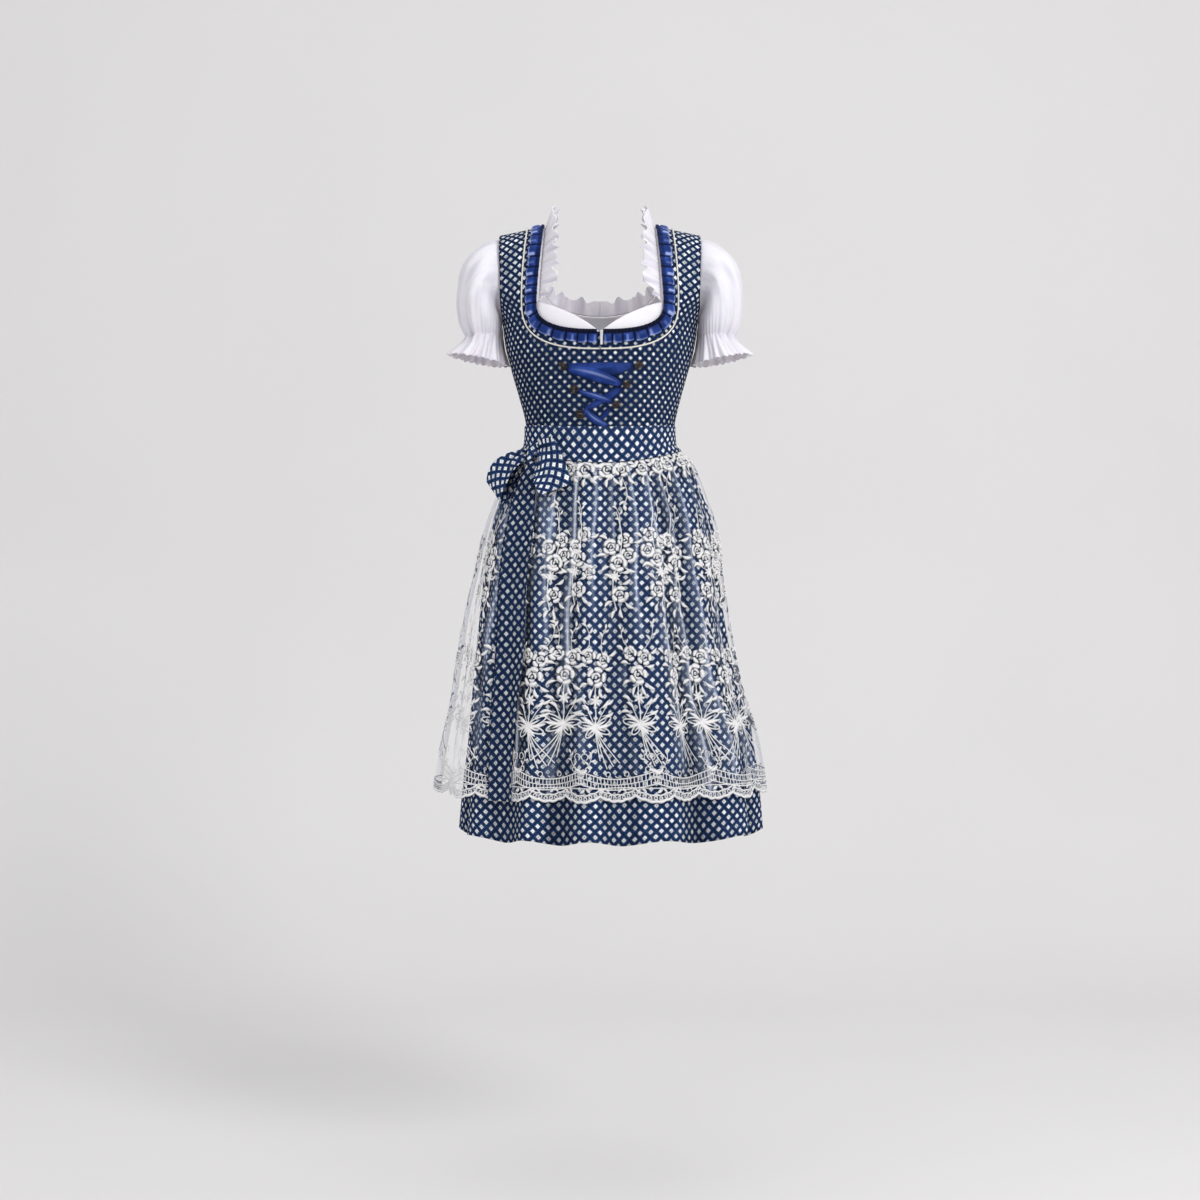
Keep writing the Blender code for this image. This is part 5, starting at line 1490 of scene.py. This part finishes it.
def bouquet(seed):
    """Sprigs over roses over a tied bow, as one column of the apron."""
    rng = np.random.default_rng(seed)
    made = Drawing()
    flip = rng.choice((-1.0, 1.0))
    made.place(sprig(0.042), -0.013 * flip, 0.122, 0.30 * flip)
    made.place(sprig(0.036, -1.0), 0.011 * flip, 0.120, -0.35 * flip)
    made.place(rose(0.0125, seed), -0.0125, 0.116)
    made.place(rose(0.0130, seed + 1), 0.0125, 0.110)
    made.place(rose(0.0165, seed + 2), 0.0010, 0.084)
    made.scatter(leaf(0.0150, 0.0058, 0.15, 0.25), (
        (-0.012, 0.100, 1.5), (0.012, 0.096, -1.4), (-0.010, 0.076, 2.0), (0.012, 0.072, -2.1),
        (-0.003, 0.070, 2.8), (0.005, 0.070, -2.7), (0.021, 0.114, -1.0), (-0.022, 0.118, 1.1)))
    made.place(star(0.0100, 7), 0.0005, 0.049, 0.3)
    made.scatter(leaf(0.0155, 0.0052, 0.15, 0.3), (
        (-0.006, 0.030, 0.9), (-0.010, 0.044, 1.2), (0.007, 0.036, -0.8), (0.011, 0.026, -1.3),
        (-0.012, 0.028, 1.6), (0.013, 0.042, -1.1)))
    stem = np.array([(0.0, 0.070), (-0.001, 0.050), (0.001, 0.030), (0.0, 0.008)])
    made.stroke(stem, 0.0018, 0.0005)
    made.stroke(np.array([(-0.022, 0.052), (-0.011, 0.034), (0.0, 0.010)]), 0.0014, 0.0005)
    made.stroke(np.array([(0.022, 0.046), (0.011, 0.030), (0.0, 0.010)]), 0.0014, 0.0005)
    made.place(ribbon_bow(0.031), 0.0, 0.010, flip=1.0 if seed % 5 else -1.0)
    return made


def hanging_spray(seed):
    """A cluster of roses from which a stem of leaves and buds hangs."""
    rng = np.random.default_rng(seed)
    made = Drawing()
    flip = rng.choice((-1.0, 1.0))
    t = np.linspace(0, 1, 12)
    stem = np.column_stack([0.008 * np.sin(t * 6.0) * flip, 0.152 - 0.150 * t])
    made.stroke(stem, 0.0016, 0.0005)
    made.place(sprig(0.036), 0.004 * flip, 0.124, 0.3 * flip)
    roses = [(0.012, 0.109, 0.0125), (-0.010, 0.098, 0.0130), (0.017, 0.086, 0.0125),
             (0.001, 0.074, 0.0150), (0.003, 0.026, 0.0135)]
    if seed % 3 == 0:
        roses[1], roses[2] = (0.022, 0.052, 0.0120), (-0.004, 0.090, 0.0120)
    for n, (x, y, radius) in enumerate(roses):
        made.place(rose(radius, seed * 7 + n), x * flip, y)
    made.place(star(0.0090, 8), -0.004 * flip, 0.053, 0.2)
    made.scatter(leaf(0.0145, 0.0056, 0.15, 0.25), (
        (-0.012, 0.108, 1.2), (-0.014, 0.086, 1.7), (0.022, 0.104, -1.2), (-0.010, 0.070, 2.1),
        (0.010, 0.068, -2.0), (0.004, 0.058, -1.2), (-0.005, 0.048, 1.1), (0.004, 0.040, -1.0),
        (-0.006, 0.018, 2.2), (0.009, 0.016, -2.2), (-0.002, 0.006, 2.7), (0.003, 0.008, -2.9)), flip)
    return made


def border(width):
    """One swag of the border: three arcs with rungs between them, curls above and sprigs at the ends."""
    made = Drawing()
    half = width / 2
    x = np.linspace(-half, half, 25)
    swag = 0.016 * np.cos(x / half * math.pi / 2)
    upper, middle, lower = 0.048 - swag, 0.038 - swag * 0.9, 0.028 - swag * 0.75
    for line, wide in ((upper, 0.0018), (middle, 0.0015), (lower, 0.0019)):
        made.stroke(np.column_stack([x, line]), wide, 0.0006)
    for n in range(1, 24):
        for top, low, shift in ((upper, middle, 0.0), (middle, lower, 0.0014)):
            made.stroke(np.array([(x[n] + shift, top[n]), (x[n] + shift, (top[n] + low[n]) / 2),
                                  (x[n] + shift, low[n])]), 0.0014, 0.0005)
    for n, centre in enumerate(np.linspace(-half * 0.72, half * 0.72, 7)):
        side = -1 if n % 2 else 1
        base = 0.0545 - 0.016 * math.cos(centre / half * math.pi / 2)
        made.stroke(arc(centre, base, 0.0036, -90, 200 * side + 40, 12), 0.0014, 0.0005)
    for side in (-1, 1):
        made.place(sprig(0.030, side), side * half * 0.97, 0.044, -0.30 * side)
        made.place(leaf(0.0140, 0.0060, 0.1, 0.2), side * half * 0.97, 0.040, 1.1 * side)
        made.stroke(arc(side * half * 0.80, 0.066, 0.0050, -60, 250, 13), 0.0014, 0.0005)
    for n in range(9):
        spot = -half + width * (n + 0.5) / 9
        made.place(leaf(0.0085, 0.0040, 0.1), spot, 0.0125, 0.8 if n % 2 else -0.8)
    return made


def heading(number):
    """One rose with its leaves under the band, and on every third a sprig that hangs from it."""
    made = Drawing()
    made.place(rose(0.0140 + 0.0015 * math.sin(number * 1.7), 200 + number), 0.0, 0.002)
    made.scatter(leaf(0.0135, 0.0062, 0.15, 0.15), (
        (-0.011, 0.006, 1.4), (0.011, 0.007, -1.3), (-0.010, -0.007, 2.2), (0.008, -0.008, -2.4),
        (0.001, -0.010, 3.0)))
    if number % 3 == 1:
        made.place(sprig(0.042, 1.0 if number % 2 else -1.0), 0.0, -0.010, 3.0)
    return made


def edging(scale):
    """The scalloped edge all round the apron: two cords, a straight line and a row of eyelets."""
    made = Drawing()
    theta = np.linspace(-APRON_REACH + 0.004, APRON_REACH - 0.004, 560)
    x = theta * scale
    rim = scallop_edge(theta) - APRON_HEM
    made.stroke(np.column_stack([x, rim + 0.0023]), 0.0046, 0.0009)
    made.stroke(np.column_stack([x, rim + 0.0118]), 0.0026, 0.0008)
    made.stroke(np.column_stack([x, 0.0135 + 0 * rim]), 0.0016, 0.0006)
    for n in range(0, len(x) - 5, 5):
        made.stroke(arc(x[n], rim[n] + 0.0072, 0.0026, 0, 360, 8), 0.0020, 0.0008)
    return made


def cloth_scale(theta, height):
    """Metres of net for each radian at one place."""
    return apron_normal(np.array([theta]), np.array([height]))[1][0]


def lay_on_apron(name, drawing_list):
    """Lays drawings, each with its angle and height, on the outside of the net.

    Each stroke has two faces outside and one against the net, which is shaded flat.
    """
    spots, faces, outside = [], [], []
    count = 0
    for drawing, theta, height in drawing_list:
        flat = np.concatenate(drawing.points)
        scale = cloth_scale(theta, height)
        spots.append(np.column_stack([theta + flat[:, 0] / scale, height + flat[:, 1], flat[:, 2]]))
        faces.append(np.concatenate(drawing.faces) + count)
        outside += [np.full(len(rows), n % 3 < 2) for n, rows in enumerate(drawing.faces)]
        count += drawing.count
    spots = np.concatenate(spots)
    theta = np.clip(spots[:, 0], -APRON_REACH, APRON_REACH)
    height = np.clip(spots[:, 1], scallop_edge(theta), band_height(theta, *BAND[0][1:4]) - 0.001)
    normal, _ = apron_normal(theta, height)
    points = apron_point(theta, height) + normal * (0.00045 + spots[:, 2])[:, None]
    piece = add_mesh(name, points, np.concatenate(faces), "embroidery_thread")
    piece.data.polygons.foreach_set("use_smooth", np.concatenate(outside))
    return finish(piece, ())


class DIRNDL_OT_embroidery(bpy.types.Operator):
    """Builds the flowers, bows, swags and scalloped edge embroidered on the net"""

    bl_idname = "dirndl.embroidery"
    bl_label = "Embroidery"

    def execute(self, context):
        roses = []
        for n, degrees in enumerate(np.arange(-97, 98, 11.1)):
            theta = math.radians(degrees + 1.4 * math.sin(n * 2.3))
            height = float(band_height(np.array(theta), *BAND[0][1:4])) - 0.0145
            roses.append((heading(n), theta, height))
        sprays = []
        for n, degrees in enumerate(np.arange(-93, 94, 16.9)):
            theta = math.radians(degrees + 3.0 * math.sin(n * 2.1))
            sprays.append((hanging_spray(40 + n), theta, -0.596 + 0.008 * (n % 2)))
        bouquets = []
        for n, degrees in enumerate(np.arange(-94, 95, 15.65)):
            theta = math.radians(degrees + 1.8 * math.sin(n * 1.7 + 1))
            bouquets.append((bouquet(70 + n), theta, -0.778 + 0.004 * (n % 2)))
        swags = []
        scale = float(cloth_scale(0.0, APRON_HEM))
        for n in range(-4, 4):
            theta = SCALLOP * (2 * n + 1) - SCALLOP * 0.5
            if abs(theta) < APRON_REACH - 0.12:
                swags.append((border(scale * SCALLOP * 2), theta, APRON_HEM - 0.006))
        for name, drawings in (("apron_roses", roses), ("apron_sprays", sprays),
                               ("apron_bouquets", bouquets), ("apron_swags", swags),
                               ("apron_edging", [(edging(scale), 0.0, APRON_HEM)])):
            lay_on_apron(name, drawings)
        return {"FINISHED"}


# Band, bow and tails

def band_grid(first, last, columns):
    theta = np.radians(np.linspace(first, last, columns))
    rows = []
    for share in np.linspace(0, 1, 22):
        front, side, back, out = (float(read(BAND, c, share)) for c in (1, 2, 3, 4))
        height = band_height(theta, front, side, back)
        turn = np.degrees(theta)
        soft = 0.0006 * ripple(theta * 9, np.full_like(theta, share * 5), 31)
        tuck = -0.0016 * np.exp(-(((share - 0.36 - (turn + 15) / 260) / 0.055) ** 2))
        tuck = tuck * ease((turn + 48) / 10) * (1 - ease((turn - 6) / 22))
        away = out + (soft + tuck) * math.sin(math.pi * min(1.0, share * 1.02)) ** 0.5
        body = body_point(theta, height, away)
        skirt = skirt_point(theta, height, away, 0.0)
        rows.append(mix(body, skirt, ease((height + 0.3340) / -0.008)[:, None]))
    return np.array(rows)


def band_grids():
    """The apron's band and the tie that goes on behind it."""
    gap = 0.2
    return (band_grid(-BAND_REACH, BAND_REACH, 300),
            band_grid(BAND_REACH + gap, 360 - BAND_REACH - gap, 160))


def knot_centre():
    """Middle of the knot, and the direction in which it faces."""
    theta = np.array(math.radians(KNOT["angle"]))
    place = skirt_point(theta, np.array(KNOT["height"]), 0.0, 0.0)
    outwards = unit(np.array([place[0], place[1] * 1.2, 0]))
    return place + outwards * (BAND[0][4] + BAND_WALL + KNOT["radii"][1] + KNOT["gap"]), outwards


def knot_grid():
    centre, outwards = knot_centre()
    rx, ry, rz = KNOT["radii"]
    right = np.array([-outwards[1], outwards[0], 0])
    turn = np.linspace(0, 2 * math.pi, 72, endpoint=False)
    rows = []
    for level in np.linspace(-0.97, 0.97, 44):
        swell = math.sqrt(max(0.02, 1 - level * level * 0.76))
        crease = 1 - 0.055 * (0.5 + 0.5 * np.cos(turn * 7 + level * 5)) * (1 - abs(level)) ** 0.4
        crease -= 0.05 * math.exp(-((abs(level) - 0.80) / 0.08) ** 2)
        spot = right * (rx * np.cos(turn))[:, None] + outwards * (ry * np.sin(turn))[:, None]
        rows.append(centre + spot * (swell * crease)[:, None] - outwards * (KNOT["lean"] * level)
                    + np.array([0, 0, rz * level]))
    return np.array(rows)


def loop_grid(name, steps=72, columns=30):
    """A loop of the bow, out along its front and back along its underside, and the shade and light painted on
    it.
    """
    rows = LOOPS[name]

    def edges(share):
        v = [float(read(rows, c, share)) for c in range(1, 8)]
        return np.array([v[0], -v[1], v[2]]), np.array([v[3], -v[4], v[5]]), v[6]

    _, outwards = knot_centre()
    root_high, root_low, _ = edges(0.0)
    mouth_high, mouth_low, _ = edges(1.0)
    along = unit(mouth_high + mouth_low - root_high - root_low)
    facing = unit(np.cross(mouth_high - mouth_low, along))
    facing = facing if facing @ outwards > 0 else -facing
    across = np.linspace(0, 1, columns + 1)
    grid, shade = [], []
    for n in range(steps + 1):
        turn = mix(0.08, 1.92, n / steps) * math.pi
        share = (1 - math.cos(turn)) / 2
        high, low, stand = edges(share)
        lift = stand * min(1.0, abs(math.sin(turn)) * 1.4) * (1 if turn < math.pi else -0.8)
        ridge = 0.0026 * (1 - share) ** 1.3 * np.cos(across * 4 * math.pi)
        ridge += 0.0009 * np.cos(across * 9 * math.pi + share * 2) * (1 - share) ** 2
        soft = 0.0012 * np.sin(across * 4.4 + share * 5.0) * math.sin(math.pi * share)
        spots = low[None] + (high - low)[None] * across[:, None]
        grid.append(spots + facing * (lift + ridge + soft)[:, None])
        # Painted shade in the valleys of its ridges, at its root and on its inner side; painted light towards
        # the mouth of its outer side
        valley = ease(-np.cos(across * 4 * math.pi)) * (1 - share) * 0.7 + 0.30 * (1 - share) ** 3
        shade.append(np.clip(valley + (0.75 if turn > math.pi else -0.4 * share), -1, 0.9))
    grid, shade = np.array(grid), np.array(shade)
    probe = np.cross(grid[0, 1] - grid[0, 0], grid[1, 0] - grid[0, 0])
    return (grid[:, ::-1], shade[:, ::-1]) if probe @ facing > 0 else (grid, shade)


def tail_grid(out, shift, end, bulge, lift_share):
    """A tail that hangs from the knot down the skirt."""
    heights = np.linspace(end, TAIL[0][0], 150)
    share = np.linspace(-1, 1, 19)
    z, s = np.meshgrid(heights, share, indexing="ij")
    want = read(TAIL, 1, z) + shift + read(TAIL, 2, z) * s
    half = (read(SKIRT, 1, z) + read(SKIRT, 2, z)) / 2
    fold = 0.0016 * np.cos(s * 3.2 + z * 9 + 1.0) + 0.0008 * np.cos(s * 6 - z * 23)
    away = 0.0010 + out + bulge * (1 - s * s) + read(TAIL, 3, z) * lift_share
    away = away + np.abs(fold) * ease((TAIL[0][0] - z) / 0.05)
    theta = np.arcsin(np.maximum(-0.98, want / half))
    for _ in range(5):
        place = skirt_point(theta, z, apron_out(theta, z) + away, 0.0)
        theta = theta + (want - place[..., 0]) / half
    return skirt_point(theta, z, apron_out(theta, z) + away, 0.0)


class DIRNDL_OT_bow(bpy.types.Operator):
    """Builds the apron's band, tie, knot, loops and tails"""

    bl_idname = "dirndl.bow"
    bl_label = "Band and bow"

    def execute(self, context):
        repeat = settings().skirt_repeat
        front, back = band_grids()
        rows = (
            # node, grid, shade, thickness, flat cut, how it is held
            ("apron_band", front, 0, BAND_WALL, (0.46, 0.056), "stretched"),
            ("apron_tie", back, 0, BAND_WALL, (0.32, 0.044), "stretched"),
            ("bow_loop_right", *loop_grid("bow_loop_right"), SKIRT_WALL, (0.150, 0.062), "folded"),
            ("bow_loop_left", *loop_grid("bow_loop_left"), SKIRT_WALL, (0.150, 0.048), "folded"),
            # The tails are painted evenly darker, with shade; the band and the tie are not
            ("tie_tail", tail_grid(**OVER_TAIL), 0.52, SKIRT_WALL, (0.044, 0.55), "hung"),
            ("tie_tail_under", tail_grid(**UNDER_TAIL), 0.5, SKIRT_WALL, (0.044, 0.50), "hung"),
        )
        for node, grid, shade, thickness, flat, held in rows:
            middle = 0 if held == "folded" else grid.shape[1] // 2
            piece = add_cloth(node + "_cloth", grid, thickness, "skirt_cotton",
                              {"fold": np.zeros(grid.shape[:2]) + shade}, repeat, middle=middle)
            finish(piece, [node])
        grid = knot_grid()
        ring = grid.shape[1]
        looped = np.concatenate([grid, grid[:, :1]], axis=1)
        uv = flat_uv(looped)[:, :-1].reshape(-1, 2) / repeat
        faces = grid_quads(len(grid), ring, True).tolist()
        faces.append(list(range(ring - 1, -1, -1)))
        faces.append(list(range((len(grid) - 1) * ring, len(grid) * ring)))
        finish(add_mesh("bow_knot_cloth", grid.reshape(-1, 3), faces, "skirt_cotton", uv), ["bow_knot"])
        return {"FINISHED"}


# Topstitching

def stitch_tree():
    """Geometry Nodes: small stitches laid end to end along curves."""
    tree = bpy.data.node_groups.new("topstitching", "GeometryNodeTree")
    face = tree.interface
    face.new_socket("Geometry", in_out="INPUT", socket_type="NodeSocketGeometry")
    for label in ("Stitch pitch", "Stitch length", "Thread radius"):
        face.new_socket(label, in_out="INPUT", socket_type="NodeSocketFloat")
    face.new_socket("Thread", in_out="INPUT", socket_type="NodeSocketMaterial")
    face.new_socket("Geometry", in_out="OUTPUT", socket_type="NodeSocketGeometry")
    nodes, links = tree.nodes, tree.links
    ins, outs = nodes.new("NodeGroupInput"), nodes.new("NodeGroupOutput")
    points = nodes.new("GeometryNodeCurveToPoints")
    points.mode = "LENGTH"
    stitch = nodes.new("GeometryNodeMeshIcoSphere")
    stitch.inputs["Subdivisions"].default_value = 1
    shape = nodes.new("GeometryNodeTransform")
    size = nodes.new("ShaderNodeCombineXYZ")
    place = nodes.new("GeometryNodeInstanceOnPoints")
    real = nodes.new("GeometryNodeRealizeInstances")
    dress = nodes.new("GeometryNodeSetMaterial")
    halve = nodes.new("ShaderNodeMath")
    halve.operation = "MULTIPLY"
    halve.inputs[1].default_value = 0.5
    links.new(ins.outputs["Geometry"], points.inputs["Curve"])
    links.new(ins.outputs["Stitch pitch"], points.inputs["Length"])
    links.new(ins.outputs["Stitch length"], halve.inputs[0])
    for axis in "XY":
        links.new(ins.outputs["Thread radius"], size.inputs[axis])
    links.new(halve.outputs[0], size.inputs["Z"])
    links.new(stitch.outputs["Mesh"], shape.inputs["Geometry"])
    links.new(size.outputs[0], shape.inputs["Scale"])
    links.new(points.outputs["Points"], place.inputs["Points"])
    links.new(points.outputs["Rotation"], place.inputs["Rotation"])
    links.new(shape.outputs["Geometry"], place.inputs["Instance"])
    links.new(place.outputs["Instances"], real.inputs["Geometry"])
    links.new(real.outputs["Geometry"], dress.inputs["Geometry"])
    links.new(ins.outputs["Thread"], dress.inputs["Material"])
    links.new(dress.outputs["Geometry"], outs.inputs["Geometry"])
    return tree


def stitch_lines():
    """The seams that show topstitching: straps' outer edges, band edges, skirt hem and tail edges."""
    over_band, over_skirt = 0.0013, 0.0011  # the cloth's thickness and 0.1 mm
    lines = []
    out = BODICE_OUT + over_band
    level = np.linspace(YOKE + 0.01, SHOULDER - 0.001, 60)
    for face in (1, -1):
        arm = body_point(theta_of(arm_across("bodice", level) - 0.004, level, face), level, out)
        lines += [arm, mirrored(arm)]
    for row in (1, -2):
        for grid in band_grids():
            lines.append((grid + grid_normals(grid) * over_band)[row, 2:-2])
    theta = np.linspace(-math.pi, math.pi, 700)
    z = np.full(700, STITCHED_HEM)
    hem = settings().crease * 0.8 * skirt_creases(theta, z)
    lines.append(skirt_point(theta, z, hem + over_skirt))
    tail = tail_grid(**OVER_TAIL)
    tail = tail + grid_normals(tail) * over_skirt
    lines += [tail[1:, 1], tail[1:, -2], tail[2, 1:-1]]
    return lines


class DIRNDL_OT_stitches(bpy.types.Operator):
    """Lays topstitching along the band, straps, hem and tails"""

    bl_idname = "dirndl.stitches"
    bl_label = "Topstitching"

    def execute(self, context):
        own = settings()
        curve = bpy.data.curves.new("topstitch_lines", "CURVE")
        curve.dimensions = "3D"
        for line in stitch_lines():
            spline = curve.splines.new("POLY")
            spline.points.add(len(line) - 1)
            spline.points.foreach_set("co", np.column_stack([line, np.ones(len(line))]).ravel())
        guide = add_object("topstitch_lines", curve)
        tree = stitch_tree()
        sewn = guide.modifiers.new("topstitching", "NODES")
        sewn.node_group = tree
        wanted = {
            "Stitch pitch": own.stitch_gap,
            "Stitch length": own.stitch,
            "Thread radius": STITCH_RADIUS,
            "Thread": bpy.data.materials["topstitch"],
        }
        for item in tree.interface.items_tree:
            if item.item_type == "SOCKET" and item.in_out == "INPUT" and item.name in wanted:
                sewn[item.identifier] = wanted[item.name]
        seen = guide.evaluated_get(context.evaluated_depsgraph_get())
        mesh = bpy.data.meshes.new_from_object(seen)
        if not mesh.polygons:
            raise RuntimeError("the topstitching came out empty")
        piece = add_object("topstitching", mesh)
        bpy.data.objects.remove(guide, do_unlink=True)
        finish(piece)
        return {"FINISHED"}


# Stage

class DIRNDL_OT_stage(bpy.types.Operator):
    """Sets up the pale studio, the lights and the camera"""

    bl_idname = "dirndl.stage"
    bl_label = "Stage"

    def execute(self, context):
        scene = context.scene
        backdrop = Finish("studio_paper", Roughness=0.95, Specular_IOR_Level=0.1)
        tone = backdrop.noise(backdrop.object_place(), 1.5, 2.0)
        backdrop.feed(Base_Color=backdrop.blend(tone, *PAPER_TONES))
        turn = np.linspace(0, math.pi / 2, 13)
        # Floor, bend and wall of the paper, as distance back and height
        profile = [(-6.0, -1.50), (1.6, -1.50)]
        profile += [(1.6 + 1.2 * math.sin(a), -0.30 - 1.2 * math.cos(a)) for a in turn[1:]]
        profile += [(2.8, 5.0)]
        points = [(x, y, z) for y, z in profile for x in (-8.0, 8.0)]
        faces = [(2 * n, 2 * n + 1, 2 * n + 3, 2 * n + 2) for n in range(len(profile) - 1)]
        sweep = add_mesh("studio_sweep", points, faces, "studio_paper")
        world = bpy.data.worlds.new("studio_air")
        world.use_nodes = True
        air = world.node_tree.nodes["Background"]
        air.inputs["Color"].default_value = (1.0, 1.0, 1.0, 1.0)
        air.inputs["Strength"].default_value = 0.76
        scene.world = world
        lights = (
            # name, place, aim, size, power
            ("key_light", (2.1, -3.1, 1.3), (0.0, 0.0, -0.45), 1.2, 78.0),
            ("fill_light", (-2.4, -2.9, 0.3), (0.0, 0.0, -0.5), 2.2, 12.0),
            ("top_light", (0.2, -0.7, 1.9), (0.0, 0.0, -0.3), 1.6, 7.0),
        )
        for name, place, aim, size, power in lights:
            data = bpy.data.lights.new(name, "AREA")
            data.energy = power
            data.size = size
            lamp = add_object(name, data)
            lamp.location = place
            lamp.rotation_euler = (Vector(aim) - Vector(place)).to_track_quat("-Z", "Y").to_euler()
        view = bpy.data.cameras.new("camera")
        view.sensor_width = 36.0
        view.lens = 68.4
        camera = add_object("camera", view)
        camera.location = (0.0, -3.6, -0.578)
        camera.rotation_euler = (math.pi / 2, 0.0, 0.0)
        scene.camera = camera
        scene.view_settings.view_transform = "Standard"
        return {"FINISHED"}


OPERATORS = (
    DIRNDL_OT_materials,
    DIRNDL_OT_bodice,
    DIRNDL_OT_blouse,
    DIRNDL_OT_neck_trims,
    DIRNDL_OT_lacing,
    DIRNDL_OT_skirt,
    DIRNDL_OT_apron,
    DIRNDL_OT_embroidery,
    DIRNDL_OT_bow,
    DIRNDL_OT_stitches,
    DIRNDL_OT_stage,
)


class DIRNDL_PT_sidebar(bpy.types.Panel):
    """Lists the steps and the settings"""

    bl_idname = "DIRNDL_PT_sidebar"
    bl_label = "Dirndl Outfit"
    bl_space_type = "VIEW_3D"
    bl_region_type = "UI"
    bl_category = "Dirndl"

    def draw(self, context):
        for name in DirndlSettings.__annotations__:
            self.layout.prop(context.scene.dirndl, name)
        for operator in OPERATORS:
            self.layout.operator(operator.bl_idname)


def register():
    for item in (DirndlSettings, *OPERATORS, DIRNDL_PT_sidebar):
        bpy.utils.register_class(item)
    bpy.types.Scene.dirndl = bpy.props.PointerProperty(type=DirndlSettings)


def unregister():
    del bpy.types.Scene.dirndl
    for item in (DIRNDL_PT_sidebar, *reversed(OPERATORS), DirndlSettings):
        bpy.utils.unregister_class(item)


def main():
    register()
    bpy.ops.dirndl.materials()
    bpy.ops.dirndl.bodice()
    bpy.ops.dirndl.blouse()
    bpy.ops.dirndl.neck_trims()
    bpy.ops.dirndl.lacing()
    bpy.ops.dirndl.skirt()
    bpy.ops.dirndl.apron()
    bpy.ops.dirndl.embroidery()
    bpy.ops.dirndl.bow()
    bpy.ops.dirndl.stitches()
    bpy.ops.dirndl.stage()


if __name__ == "__main__":
    main()
